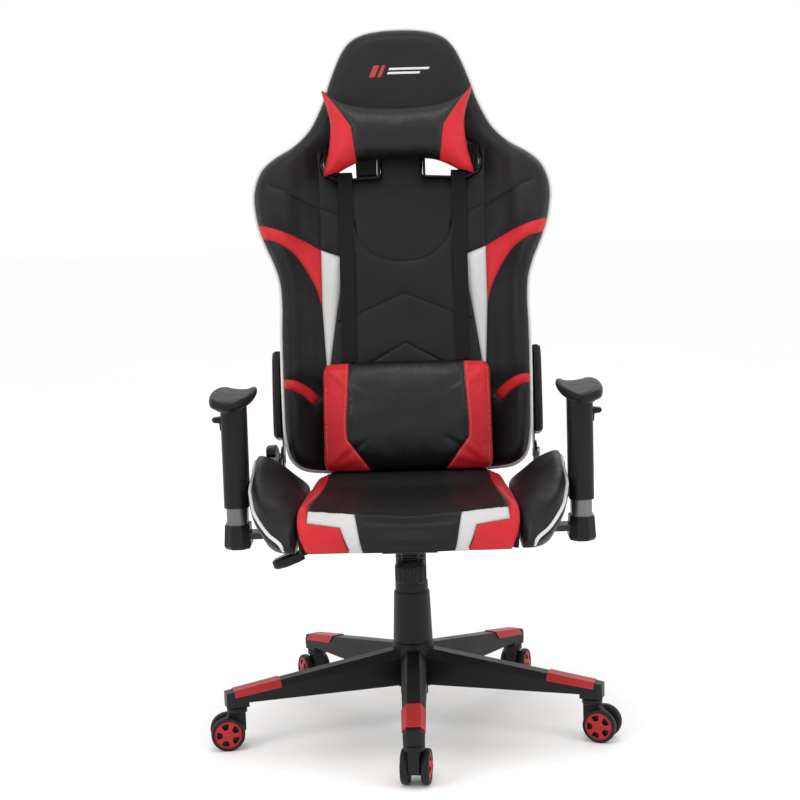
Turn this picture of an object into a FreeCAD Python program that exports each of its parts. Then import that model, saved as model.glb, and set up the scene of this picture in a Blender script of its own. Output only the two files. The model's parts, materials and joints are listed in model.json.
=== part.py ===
import FreeCAD, Part
import os, re, math
import Sketcher

V = FreeCAD.Vector
Rot = FreeCAD.Rotation
Pl = FreeCAD.Placement
doc = FreeCAD.newDocument("gaming_chair")

# ---------------------------------------------------------------- driving dimensions
dims = doc.addObject("Spreadsheet::Sheet", "dims")
P = {}
_row = [0]


def cell(alias, value, note=""):
    _row[0] += 1
    r = _row[0]
    dims.set("A%d" % r, alias)
    dims.set("B%d" % r, str(value))
    dims.setAlias("B%d" % r, alias)
    if note:
        dims.set("C%d" % r, note)
    P[alias] = float(value)


# base and casters
cell("leg_rad", 330, "caster stem circle radius")
cell("leg_count", 5, "legs of the star base")
cell("wheel_rad", 30, "caster wheel radius")
cell("wheel_wide", 15.5, "width of one caster wheel")
cell("hood_half", 9.5, "half width of the caster body between its wheels")
cell("wheel_in", 10.1, "inner face of a wheel from the caster's middle")
cell("trail", 18, "axle offset behind the stem")
cell("axle_rad", 4)
cell("stem_rad", 5.5)
cell("stem_top", 94)
cell("sock_base", 76, "underside of a leg's caster socket")
cell("hub_top", 161)
cell("hub_rad", 38)
# column
cell("tube_rad", 25, "gas spring outer tube radius")
cell("tube_bore", 22)
cell("tube_low", 58)
cell("tube_high", 250)
cell("ram_rad", 14, "gas spring inner cylinder radius")
cell("ram_low", 120)
cell("ram_high", 356)
cell("low_cover_top", 253)
cell("low_cover_rad", 32.5)
cell("low_cover_foot", 35.5)
# mechanism
cell("boss_low", 318)
cell("boss_top", 356)
cell("tray_low", 345)
cell("tray_top", 371)
cell("tray_half", 48)
cell("pivot_y", -42, "tilt axis")
cell("pivot_z", 360)
cell("knob_y", -90)
cell("knob_low", 287)
cell("knob_top", 327)
cell("knob_rad", 28)
cell("plate_low", 378)
cell("plate_top", 381)
# seat
cell("pan_top", 393)
cell("seat_half", 185, "half width of the seat's centre cushion")
cell("seat_front", -275)
# arms
cell("arm_x", 305)
cell("arm_y", -45)
cell("arm_out_x", 22, "half width of the arm sleeve")
cell("arm_out_y", 31)
cell("arm_tube_x", 18.2)
cell("arm_tube_y", 27.2)
cell("sleeve_low", 423)
cell("sleeve_high", 600)
cell("boot_low", 349)
cell("boot_high", 392)
# backrest
cell("hinge_y", 215)
cell("hinge_z", 465)
cell("recline", 10, "backrest lean from upright, degrees")
cell("back_y", 186)
cell("back_z", 443)
cell("back_thick", 64)

doc.recompute()
NAMES = sorted(P, key=len, reverse=True)
_pat = re.compile(r"\b(" + "|".join(NAMES) + r")\b")


def num(e):
    """value of an expression in the sheet's aliases"""
    if isinstance(e, (int, float)):
        return float(e)
    tree = re.sub(_pat, lambda m: "(%r)" % P[m.group(1)], e)
    return _calc(tree)


def _calc(s):
    """small arithmetic reader for + - * / and brackets"""
    toks = re.findall(r"\d+\.?\d*(?:e-?\d+)?|[-+*/()]", s.replace(" ", ""))
    pos = [0]

    def peek():
        return toks[pos[0]] if pos[0] < len(toks) else None

    def atom():
        t = toks[pos[0]]
        pos[0] += 1
        if t == "(":
            v = summ()
            pos[0] += 1
            return v
        if t == "-":
            return -atom()
        if t == "+":
            return atom()
        return float(t)

    def prod():
        v = atom()
        while peek() in ("*", "/"):
            o = toks[pos[0]]
            pos[0] += 1
            w = atom()
            v = v * w if o == "*" else v / w
        return v

    def summ():
        v = prod()
        while peek() in ("+", "-"):
            o = toks[pos[0]]
            pos[0] += 1
            w = prod()
            v = v + w if o == "+" else v - w
        return v

    return summ()


def ex(e):
    """one expression in its usual written form"""
    return re.sub(_pat, lambda m: "<<dims>>." + m.group(1), str(e))


# ---------------------------------------------------------------- helpers
def new_body(name):
    b = doc.addObject("PartDesign::Body", name)
    b.Label = name
    return b


def plane(body, role):
    for f in body.Origin.OriginFeatures:
        if f.Role == role:
            return f
    raise RuntimeError(role)


_n = [0]


def sk_on(body, role, off=0, label="sk"):
    """a sketch on one of the body's own planes, shifted along the plane's normal by off"""
    _n[0] += 1
    sk = body.newObject("Sketcher::SketchObject", "%s_%d" % (label, _n[0]))
    sk.AttachmentSupport = [(plane(body, role), "")]
    sk.MapMode = "FlatFace"
    sk.AttachmentOffset = Pl(V(0, 0, num(off)), Rot())
    if isinstance(off, str):
        sk.setExpression("AttachmentOffset.Base.z", ex(off))
    return sk


def pin_point(sk, geo, pos, x, y):
    """ties a point to the origin with distances bound to the sheet"""
    for kind, e in (("DistanceX", x), ("DistanceY", y)):
        v = num(e)
        if abs(v) < 1e-9:
            # -2 is the vertical axis and -1 the horizontal one
            sk.addConstraint(Sketcher.Constraint("PointOnObject", geo, pos, -2 if kind == "DistanceX" else -1))
            continue
        if v > 0:
            c = sk.addConstraint(Sketcher.Constraint(kind, -1, 1, geo, pos, v))
            txt = ex(e)
        else:
            c = sk.addConstraint(Sketcher.Constraint(kind, geo, pos, -1, 1, -v))
            txt = "-(%s)" % ex(e)
        if isinstance(e, str):
            sk.setExpression("Constraints[%d]" % c, txt)


def poly(sk, pts):
    """closed polygon; every corner fixed by distances, those given as words bound to the sheet"""
    q = [V(num(a), num(b), 0) for a, b in pts]
    k = len(q)
    base = sk.GeometryCount
    for i in range(k):
        sk.addGeometry(Part.LineSegment(q[i], q[(i + 1) % k]), False)
    for i in range(k):
        sk.addConstraint(Sketcher.Constraint("Coincident", base + i, 2, base + (i + 1) % k, 1))
    for i in range(k):
        pin_point(sk, base + i, 1, pts[i][0], pts[i][1])


def circ(sk, x, y, r):
    g = sk.addGeometry(Part.Circle(V(num(x), num(y), 0), V(0, 0, 1), num(r)), False)
    c = sk.addConstraint(Sketcher.Constraint("Radius", g, num(r)))
    if isinstance(r, str):
        sk.setExpression("Constraints[%d]" % c, ex(r))
    if abs(num(x)) < 1e-9 and abs(num(y)) < 1e-9:
        sk.addConstraint(Sketcher.Constraint("Coincident", g, 3, -1, 1))
    else:
        pin_point(sk, g, 3, x, y)


def feat(body, kind, sk=None, length=None, mid=False, rev=False, name=None):
    f = body.newObject("PartDesign::" + kind, name or kind.lower())
    if sk is not None:
        f.Profile = sk
    if length is not None:
        f.Length = num(length)
        if isinstance(length, str):
            f.setExpression("Length", ex(length))
    if kind in ("Pad", "Pocket"):
        f.Midplane = mid
        f.Reversed = rev
    body.Tip = f
    return f


def through(body, sk, name=None, mid=True, rev=False):
    f = body.newObject("PartDesign::Pocket", name or "cut")
    f.Profile = sk
    f.Type = 1
    f.Midplane = mid
    f.Reversed = rev
    body.Tip = f
    return f


def revolve(body, pts, name="turned", kind="Revolution", role="XZ_Plane", axis="V_Axis"):
    sk = sk_on(body, role)
    poly(sk, pts)
    f = body.newObject("PartDesign::" + kind, name)
    f.Profile = sk
    f.ReferenceAxis = (sk, [axis])
    f.Angle = 360
    body.Tip = f
    return f


def polar(body, feats, count, role="Z_Axis", angle=360.0, name="around"):
    f = body.newObject("PartDesign::PolarPattern", name)
    f.Originals = feats
    f.Axis = (plane(body, role), [""])
    f.Angle = angle
    f.Occurrences = int(num(count))
    if isinstance(count, str):
        f.setExpression("Occurrences", ex(count))
    body.Tip = f
    return f


def loft(body, sections, kind="AdditiveLoft", ruled=True, name="loft"):
    f = body.newObject("PartDesign::" + kind, name)
    f.Profile = sections[0]
    f.Sections = sections[1:]
    f.Ruled = ruled
    body.Tip = f
    return f


def edges_where(shape, test):
    return ["Edge%d" % (i + 1) for i, e in enumerate(shape.Edges) if test(e)]


def fillet(body, test, r, kind="Fillet", name=None):
    """rounds the edges that pass test; edges that cannot take the radius stay sharp"""
    doc.recompute()
    base = body.Tip
    names = edges_where(base.Shape, test)
    if not names:
        print("no edges to round on", body.Label)
        return None
    f = body.newObject("PartDesign::" + kind, name or kind.lower())
    f.Base = (base, names)
    if kind == "Fillet":
        f.Radius = num(r)
        if isinstance(r, str):
            f.setExpression("Radius", ex(r))
    else:
        f.Size = num(r)
    body.Tip = f
    doc.recompute()
    if "Invalid" in f.State or "Error" in f.State or f.Shape.isNull() or not f.Shape.isValid():
        print("rounding refused on", body.Label)
        body.removeObject(f)
        doc.removeObject(f.Name)
        body.Tip = base
        doc.recompute()
        return None
    return f


def rect(x0, y0, x1, y1):
    return [(x0, y0), (x1, y0), (x1, y1), (x0, y1)]


def neg(e):
    return "-(%s)" % e if isinstance(e, str) else -e


def round_rect(sk, hx, hy, r, cx=0.0, cy=0.0):
    """rounded rectangle about cx, cy"""
    hx, hy, r, cx, cy = num(hx), num(hy), num(r), num(cx), num(cy)
    L = Part.LineSegment
    g = []
    g.append(sk.addGeometry(L(V(cx - hx + r, cy - hy, 0), V(cx + hx - r, cy - hy, 0))))
    g.append(sk.addGeometry(Part.ArcOfCircle(Part.Circle(V(cx + hx - r, cy - hy + r, 0), V(0, 0, 1), r), -math.pi / 2, 0)))
    g.append(sk.addGeometry(L(V(cx + hx, cy - hy + r, 0), V(cx + hx, cy + hy - r, 0))))
    g.append(sk.addGeometry(Part.ArcOfCircle(Part.Circle(V(cx + hx - r, cy + hy - r, 0), V(0, 0, 1), r), 0, math.pi / 2)))
    g.append(sk.addGeometry(L(V(cx + hx - r, cy + hy, 0), V(cx - hx + r, cy + hy, 0))))
    g.append(sk.addGeometry(Part.ArcOfCircle(Part.Circle(V(cx - hx + r, cy + hy - r, 0), V(0, 0, 1), r), math.pi / 2, math.pi)))
    g.append(sk.addGeometry(L(V(cx - hx, cy + hy - r, 0), V(cx - hx, cy - hy + r, 0))))
    g.append(sk.addGeometry(Part.ArcOfCircle(Part.Circle(V(cx - hx + r, cy - hy + r, 0), V(0, 0, 1), r), math.pi, 1.5 * math.pi)))
    ends = {0: (2, 1), 1: (2, 1), 2: (2, 1), 3: (2, 1), 4: (2, 1), 5: (2, 1), 6: (2, 1), 7: (2, 1)}
    for i in range(8):
        sk.addConstraint(Sketcher.Constraint("Coincident", g[i], ends[i][0], g[(i + 1) % 8], ends[(i + 1) % 8][1]))


def compound(name, parts, x=0, y=0, z=0, axis=(0, 0, 1), angle=0):
    """a node made of finished solids, with its own placement"""
    c = doc.addObject("Part::Compound", name)
    c.Label = name
    c.Links = parts
    c.Placement = Pl(V(num(x), num(y), num(z)), Rot(V(*axis), angle))
    for k, e in (("x", x), ("y", y), ("z", z)):
        if isinstance(e, str):
            c.setExpression("Placement.Base." + k, ex(e))
    return c


def plain(name, shape, placement=None):
    f = doc.addObject("Part::Feature", name)
    f.Label = name
    f.Shape = shape
    if placement is not None:
        f.Placement = placement
    return f


nodes = {}


def node(name, obj):
    nodes[name] = obj
    return obj


# ================================================================ star base
b = new_body("star_base")
sec = []
# a leg runs along -Y; its section is a beam with bevelled shoulders
for off, a, zb, zt, c in ((30, 23, 84, 149, 15), (215, 20, 84, 122, 11), ("leg_rad+20", 18, 84, 101.5, 8)):
    s = sk_on(b, "XZ_Plane", off)
    poly(s, [(-a, zb), (a, zb), (a, zt - c), (a - c * 0.8, zt), (-a + c * 0.8, zt), (-a, zt - c)])
    sec.append(s)
leg = loft(b, sec, name="leg")
s = sk_on(b, "XY_Plane", "sock_base")
poly(s, [(-18, "-(leg_rad+12)"), (-18, "-(leg_rad-19)"), (18, "-(leg_rad-19)"), (18, "-(leg_rad+12)"), (11, "-(leg_rad+20)"), (-11, "-(leg_rad+20)")])
sock = feat(b, "Pad", s, 14, name="socket")
# the end of the leg is cut to the socket's bevelled plan
s = sk_on(b, "XY_Plane", 60)
poly(s, [(11, "-(leg_rad+21)"), (20, "-(leg_rad+11)"), (30, "-(leg_rad+11)"), (30, "-(leg_rad+30)"), (11, "-(leg_rad+30)")])
nose = feat(b, "Pocket", s, 80, rev=True, name="nose_right")
s = sk_on(b, "XY_Plane", 60)
poly(s, [(-11, "-(leg_rad+21)"), (-20, "-(leg_rad+11)"), (-30, "-(leg_rad+11)"), (-30, "-(leg_rad+30)"), (-11, "-(leg_rad+30)")])
nose2 = feat(b, "Pocket", s, 80, rev=True, name="nose_left")
# the leg is hollow underneath
sec = []
for off, a, zb, zt, c in ((44, 19, 70, 143, 14), (215, 16.5, 70, 118, 10), ("leg_rad-24", 15, 70, 101, 8)):
    s = sk_on(b, "XZ_Plane", off)
    poly(s, [(-a, zb), (a, zb), (a, zt - c), (a - c * 0.8, zt), (-a + c * 0.8, zt), (-a, zt - c)])
    sec.append(s)
hollow = loft(b, sec, kind="SubtractiveLoft", name="leg_hollow")
# ribs inside the leg
ribs = []
for yr in (100, 160, 220, 270):
    s = sk_on(b, "XY_Plane", 88)
    zt = 143 - (yr - 44) * 0.147
    poly(s, rect(-17.6 + yr * 0.006, -yr - 1.5, 17.6 - yr * 0.006, -yr + 1.5))
    ribs.append(feat(b, "Pad", s, max(12, zt - 88 - 9), name="rib"))
s = sk_on(b, "XY_Plane", 88)
poly(s, rect(-1.5, "-(leg_rad-22)", 1.5, -40))
ribs.append(feat(b, "Pad", s, 13, name="spine"))
pat = polar(b, [leg, sock, nose, nose2, hollow] + ribs, "leg_count")
revolve(b, [("tube_rad", 80), ("hub_rad-2", 80), ("hub_rad", 84), ("hub_rad", "hub_top-3"), ("hub_rad-3", "hub_top"), ("tube_rad", "hub_top")], name="hub")
s = sk_on(b, "XY_Plane", 50)
circ(s, 0, 0, "tube_rad")
feat(b, "Pocket", s, 150, rev=True, name="column_bore")
s = sk_on(b, "XY_Plane", "sock_base")
circ(s, 0, "-leg_rad", "stem_rad")
stem_hole = feat(b, "Pocket", s, "stem_top-sock_base+0.5", rev=True, name="stem_hole")
polar(b, [stem_hole], "leg_count", name="stem_holes")
node("star_base", b)

# bevelled pads on the legs' ends
b = new_body("leg_pad_master")
sec = []
for off, a, zt, c in (("leg_rad-78", 19.45, 116.4, 10.2), ("leg_rad+6", 18.2, 103.6, 8.4)):
    s = sk_on(b, "XZ_Plane", off)
    g = 1.6
    poly(s, [(-a - g, zt - c - 1), (a + g, zt - c - 1), (a + g, zt - c + 0.5), (a - c * 0.8 + 0.8, zt + g), (-a + c * 0.8 - 0.8, zt + g), (-a - g, zt - c + 0.5)])
    sec.append(s)
loft(b, sec, name="pad_block")
sec = []
for off, a, zb, zt, c in ((215, 20, 84, 122, 11), ("leg_rad+20", 18, 84, 101.5, 8)):
    s = sk_on(b, "XZ_Plane", off)
    poly(s, [(-a, zb), (a, zb), (a, zt - c), (a - c * 0.8, zt), (-a + c * 0.8, zt), (-a, zt - c)])
    sec.append(s)
loft(b, sec, kind="SubtractiveLoft", name="pad_under")
pads = []
for i in range(5):
    f = doc.addObject("Part::Compound", "leg_pad_%d" % (i + 1))
    f.Links = [b]
    f.Placement = Pl(V(0, 0, 0), Rot(V(0, 0, 1), 72 * i))
    pads.append(f)
node("leg_pads", compound("leg_pads", pads))

# ================================================================ gas column
b = new_body("gas_outer_tube")
revolve(b, [("tube_bore", "tube_low+4"), ("tube_bore", "tube_high-60"), ("ram_rad+0.06", "tube_high-60"), ("ram_rad+0.06", "tube_high"),
            ("tube_rad-1", "tube_high"), ("tube_rad-0.02", "tube_high-2"), ("tube_rad-0.02", "tube_low+3"), ("tube_rad-3", "tube_low"), (5.3, "tube_low"), (5.3, "tube_low+4")])
node("gas_outer_tube", b)

b = new_body("piston_rod")
revolve(b, [(0, "tube_low-5"), (7, "tube_low-5"), (7, "tube_low-1.2"), (5, "tube_low-1.2"), (5, "tube_low+4.4"), (16, "tube_low+4.4"), (16, "tube_low+11"), (5, "tube_low+11"), (5, 238), (11.8, 238), (11.8, 248), (0, 248)])
node("piston_rod", b)

b = new_body("gas_cylinder")
revolve(b, [(5.06, "ram_low"), ("ram_rad-1", "ram_low"), ("ram_rad", "ram_low+1"), ("ram_rad", "ram_high-34"), ("ram_rad-0.7", "ram_high-1"), ("ram_rad-2", "ram_high"),
            (4, "ram_high"), (4, "ram_high+5"), (0, "ram_high+5"), (0, "ram_high-26"), (12, "ram_high-26"), (12, "ram_low+10"), (5.06, "ram_low+10")])
node("gas_cylinder", b)

b = new_body("lower_cover")
revolve(b, [("low_cover_foot-3", "hub_top"), ("low_cover_foot", "hub_top"), ("low_cover_foot", "hub_top+4"), ("low_cover_rad", "low_cover_top-3"), ("low_cover_rad-1.5", "low_cover_top"),
            (30.3, "low_cover_top"), (30.3, "hub_top+3"), ("low_cover_foot-3", "hub_top+3")])
node("lower_cover", b)

b = new_body("middle_cover")
revolve(b, [(28.5, 186), (29.7, 186), (30.0, 190), (29.7, 194), (29.7, 268), (29.0, 271), (28.4, 271), (28.4, 190), (28.5, 190)])
node("middle_cover", b)

b = new_body("top_cover")
revolve(b, [(26.3, 236), (27.8, 236), (28.1, 240), (27.8, 244), (27.8, "boss_low"), (22.3, "boss_low"), (22.3, "boss_low-2.5"), (26.3, "boss_low-2.5")])
node("top_cover", b)

# ================================================================ tilt mechanism
b = new_body("mechanism_housing")
s = sk_on(b, "YZ_Plane")
# side shape: the rear falls away so that the plate can tip back
poly(s, [(-118, "tray_low"), (50, "tray_low"), (50, "tray_low+6"), ("pivot_y+12", "tray_top"), (-118, "tray_top")])
f = feat(b, "Pad", s, "2*tray_half", mid=True, name="tray")
s = sk_on(b, "YZ_Plane")
poly(s, [(-114, "tray_low+3.5"), (46, "tray_low+3.5"), (46, "tray_top+5"), (-114, "tray_top+5")])
feat(b, "Pocket", s, "2*tray_half-8", mid=True, name="tray_inside")
s = sk_on(b, "XY_Plane", "boss_low")
circ(s, 0, 0, 22)
feat(b, "Pad", s, "boss_top-boss_low-3", name="boss")
s = sk_on(b, "XY_Plane", "boss_low-5")
circ(s, 0, 0, "ram_rad+0.02")
feat(b, "Pocket", s, 60, rev=True, name="taper_bore")
# slot that the tension screw swings in
s = sk_on(b, "XY_Plane", "tray_low-3")
round_rect(s, 8, 13, 7.9, 0, "knob_y-1")
feat(b, "Pocket", s, 10, rev=True, name="screw_slot")
# holes for the tilt pin and, on one side, for the lever bush
s = sk_on(b, "YZ_Plane")
circ(s, "pivot_y", "pivot_z", 6.0)
through(b, s, "tilt_pin_hole")
s = sk_on(b, "YZ_Plane")
circ(s, 5, 354, 6.5)
f = b.newObject("PartDesign::Pocket", "bush_hole")
f.Profile = s
f.Type = 0
f.Length = 80
f.Reversed = False
b.Tip = f
doc.recompute()
node("mechanism_housing", b)

b = new_body("tilt_pin")
s = sk_on(b, "YZ_Plane")
circ(s, "pivot_y", "pivot_z", 5.97)
feat(b, "Pad", s, 118, mid=True)
node("tilt_pin", b)

b = new_body("seat_plate")
s = sk_on(b, "XY_Plane", "plate_low")
round_rect(s, 96, 128, 10, 0, -14)
feat(b, "Pad", s, "plate_top-plate_low", name="plate")
for sx in (1, -1):
    s = sk_on(b, "YZ_Plane", sx * 51)
    poly(s, [("pivot_y-18", "pivot_z-13"), ("pivot_y+18", "pivot_z-13"), ("pivot_y+26", "plate_low+1"), ("pivot_y-60", "plate_low+1")])
    feat(b, "Pad", s, 4, rev=(sx < 0), name="cheek")
s = sk_on(b, "YZ_Plane")
circ(s, "pivot_y", "pivot_z", 6.03)
through(b, s, "pin_holes")
# anchor block for the tension screw
s = sk_on(b, "XY_Plane", 366)
poly(s, rect(-9, "knob_y-9", 9, "knob_y+9"))
feat(b, "Pad", s, "plate_low-366+1", name="anchor")
s = sk_on(b, "XY_Plane", 360)
circ(s, 0, "knob_y", 4.05)
feat(b, "Pocket", s, 17, rev=True, name="screw_hole")
# four holes for the seat bolts
hs = []
for sx in (-1, 1):
    for sy in (-118, 90):
        s = sk_on(b, "XY_Plane", "plate_low-2")
        circ(s, sx * 76, sy, 4.2)
        feat(b, "Pocket", s, 10, rev=True, name="bolt_hole")
node("seat_plate", b)

# tension screw and knob turn together under the mechanism
b = new_body("tension_screw")
revolve(b, [(0, 290), (3.95, 290), (3.95, 375.5), (0, 375.5)], role="XZ_Plane")
scr = compound("tension_screw_node", [b], 0, "knob_y", 0)
scr.Label = "tension_screw"
node("tension_screw", scr)
b.Label = "tension_screw_body"

b = new_body("tension_knob_body")
revolve(b, [(4.0, "knob_low"), ("knob_rad-6", "knob_low"), ("knob_rad-1.5", "knob_low+3"), ("knob_rad", "knob_low+6"), ("knob_rad", "knob_top-9"), ("knob_rad-5", "knob_top"), (17.5, "knob_top"), (17.5, "knob_top-6"), (4.0, "knob_top-6")])
s = sk_on(b, "XY_Plane", "knob_low-1")
circ(s, "knob_rad+2.2", 0, 4.4)
fl = feat(b, "Pocket", s, "knob_top-knob_low-8", rev=True, name="flute")
polar(b, [fl], 14, name="flutes")
kn = compound("tension_knob", [b], 0, "knob_y", 0)
node("tension_knob", kn)

# compression spring between the knob and the mechanism's floor
coil_h, coil_r, wire_r = P["tray_low"] - P["knob_top"] + 5.2, 14.5, 1.7
hx = Part.makeHelix(4.6, coil_h - 2 * wire_r - 0.2, coil_r)
prof = Part.Wire([Part.Circle(V(coil_r, 0, 0), V(0, 1, 0), wire_r).toShape()])
coil = Part.Wire(hx.Edges).makePipeShell([prof], True, True)
coil.translate(V(0, P["knob_y"], P["knob_top"] - 6 + wire_r + 0.4))
node("tension_spring", plain("tension_spring", coil))

# lever on the sitter's right: bush, cranked rod and paddle
b = new_body("lever_bush")
for xa, ln, ro, ri in ((-42, 17, 6.45, 5.6), (-59, 3, 8, 5.6)):
    s = sk_on(b, "YZ_Plane", xa)
    circ(s, 5, 354, ro)
    circ(s, 5, 354, ri)
    feat(b, "Pad", s, ln, rev=True, name="tube")
s = sk_on(b, "YZ_Plane", -28)
circ(s, 5, 354, 6.45)
feat(b, "Pad", s, 14, rev=True, name="plunger")
s = sk_on(b, "XZ_Plane", -5)
circ(s, -52, 354, 1.5)
feat(b, "Pad", s, 12, mid=True, name="cross_pin")
node("lever_bush", b)

rod_path = [V(-44, 5, 354), V(-142, 5, 354), V(-177, 2, 329), V(-228, -2, 312)]


def soft_path(pts, rads):
    """straight runs joined by tangent arcs"""
    edges, last = [], pts[0]
    for i in range(1, len(pts) - 1):
        a, c, d = pts[i - 1], pts[i], pts[i + 1]
        u, w = (a - c).normalize(), (d - c).normalize()
        ang = u.getAngle(w)
        t = rads[i - 1] / math.tan(ang / 2)
        p, q = c + u * t, c + w * t
        bis = (u + w).normalize()
        m = c + bis * (rads[i - 1] / math.sin(ang / 2) - rads[i - 1])
        edges.append(Part.LineSegment(last, p).toShape())
        edges.append(Part.Arc(p, m, q).toShape())
        last = q
    edges.append(Part.LineSegment(last, pts[-1]).toShape())
    return Part.Wire(edges)


w = soft_path(rod_path, [30, 30])
rod = w.makePipeShell([Part.Wire([Part.Circle(rod_path[0], V(1, 0, 0), 3.6).toShape()])], True, False)
rod = rod.cut(Part.makeCylinder(1.55, 20, V(-52, -5, 354), V(0, 1, 0)))
node("lever_rod", plain("lever_rod", rod))

b = new_body("lever_paddle_body")
sec = []
for off, hy, hz in ((0, 8.5, 8.5), (12, 12, 10), (34, 15, 10.5), (52, 13, 9), (58, 8, 6)):
    s = sk_on(b, "YZ_Plane", -off)
    poly(s, [(-hy, -hz * 0.5), (-hy * 0.6, -hz), (hy * 0.6, -hz), (hy, -hz * 0.5), (hy, hz * 0.5), (hy * 0.6, hz), (-hy * 0.6, hz), (-hy, hz * 0.5)])
    sec.append(s)
loft(b, sec, name="grip")
s = sk_on(b, "YZ_Plane", 5)
circ(s, 0, 0, 3.62)
feat(b, "Pocket", s, 42, rev=False, name="rod_hole")
pad_dir = (rod_path[3] - rod_path[2]).normalize()
pc = compound("lever_paddle", [b], 0, 0, 0)
start = rod_path[3] - pad_dir * 36
pc.Placement = Pl(start, Rot(V(-1, 0, 0), pad_dir))
node("lever_paddle", pc)

# ================================================================ seat
b = new_body("seat_pan")
s = sk_on(b, "XY_Plane", "plate_top")
round_rect(s, 180, 232, 30, 0, -13)
feat(b, "Pad", s, "pan_top-plate_top", name="board")
node("seat_pan", b)

b = new_body("seat_cushion")
s = sk_on(b, "YZ_Plane")
poly(s, [("seat_front+9", "plate_top-3"), ("seat_front", 398), ("seat_front+3", 424), ("seat_front+16", 444), ("seat_front+38", 454), (-200, 457), (20, 447), (70, 446), (110, 449), (128, 449), (143, 440), (178, 436), (212, 428), (226, 412), (226, "pan_top"),
         (-246, "pan_top"), (-246, "plate_top-3")])
feat(b, "Pad", s, "2*seat_half", mid=True, name="foam")
node("seat_cushion", b)

b = new_body("bolster_master")
sec = []
stations = [
    (-262, [(187, 379), (187, 396), (196, 403), (207, 402), (212, 392), (202, 379)]),
    (-238, [(187, 379), (187, 424), (206, 426), (230, 417), (237, 404), (222, 379)]),
    (-185, [(187, 379), (187, 440), (222, 447), (256, 445), (264, 430), (240, 379)]),
    (-90, [(187, 379), (187, 446), (240, 463), (271, 467), (279, 450), (250, 379)]),
    (0, [(187, 379), (187, 444), (241, 476), (273, 485), (281, 466), (250, 379)]),
    (75, [(187, 379), (187, 440), (240, 478), (277, 486), (288, 464), (250, 379)]),
    (125, [(187, 379), (187, 434), (232, 458), (262, 464), (272, 444), (246, 379)]),
    (152, [(187, 379), (187, 424), (222, 436), (244, 438), (252, 424), (236, 379)]),
]
for y, pts in stations:
    s = sk_on(b, "XZ_Plane", -y)
    poly(s, pts)
    sec.append(s)
loft(b, sec, name="wing")
mir = doc.addObject("Part::Mirroring", "bolster_other")
mir.Source = b
mir.Normal = V(1, 0, 0)
mir.Base = V(0, 0, 0)
node("seat_bolsters", compound("seat_bolsters", [b, mir]))

# L brackets that carry the backrest hinge
b = new_body("hinge_bracket_master")
s = sk_on(b, "YZ_Plane", 241.3)
poly(s, [(166, 377), (252, 377), (252, 392), ("hinge_y+24", "hinge_z"), ("hinge_y+22", "hinge_z+12"), ("hinge_y+12", "hinge_z+22"), ("hinge_y", "hinge_z+24"), ("hinge_y-14", "hinge_z+20"), ("hinge_y-26", "hinge_z+10"), (163, 470), (158, 458), (160, 430)])
feat(b, "Pad", s, 4, name="cheek")
s = sk_on(b, "XY_Plane", 377)
poly(s, rect(100, 172, 244, 246))
feat(b, "Pad", s, 4, name="foot")
s = sk_on(b, "YZ_Plane", 235)
circ(s, "hinge_y", "hinge_z", 8.05)
through(b, s, "hinge_hole", mid=False, rev=True)
fillet(b, lambda e: abs(e.Length - 4) < 0.01 and abs(e.CenterOfMass.x - 243.3) < 0.2 and e.CenterOfMass.z < 460, 5)
mir = doc.addObject("Part::Mirroring", "hinge_bracket_other")
mir.Source = b
mir.Normal = V(1, 0, 0)
node("hinge_brackets", compound("hinge_brackets", [b, mir]))

b = new_body("hinge_pin_master")
revolve(b, [(0, 236.7), (7.98, 236.7), (7.98, 246.2), (12, 246.2), (12, 250), (9, 252), (0, 252)], name="pin")
b.Placement = Pl(V(0, P["hinge_y"], P["hinge_z"]), Rot(V(0, 1, 0), 90))
b.setExpression("Placement.Base.y", ex("hinge_y"))
b.setExpression("Placement.Base.z", ex("hinge_z"))
mir = doc.addObject("Part::Mirroring", "hinge_pin_other")
mir.Source = b
mir.Normal = V(1, 0, 0)
node("hinge_pins", compound("hinge_pins", [b, mir]))

# arm brackets: a flat bar under the seat with the arm's inner tube welded on
b = new_body("arm_bracket_master")
s = sk_on(b, "XY_Plane", 366)
poly(s, rect(108, "arm_y-20", "arm_x+10", "arm_y+20"))
feat(b, "Pad", s, 11, name="bar")
for xx in (130, 165):
    s = sk_on(b, "XY_Plane", 365)
    circ(s, xx, "arm_y", 4.2)
    feat(b, "Pocket", s, 4, rev=True, name="bolt_hole")
s = sk_on(b, "XY_Plane", 352)
round_rect(s, "arm_tube_x", "arm_tube_y", 14, "arm_x", "arm_y")
feat(b, "Pad", s, 210, name="tube")
s = sk_on(b, "XY_Plane", 380)
round_rect(s, P["arm_tube_x"] - 2, P["arm_tube_y"] - 2, 12, "arm_x", "arm_y")
feat(b, "Pocket", s, 200, rev=True, name="tube_inside")
mir = doc.addObject("Part::Mirroring", "arm_bracket_other")
mir.Source = b
mir.Normal = V(1, 0, 0)
node("arm_brackets", compound("arm_brackets", [b, mir]))

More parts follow.
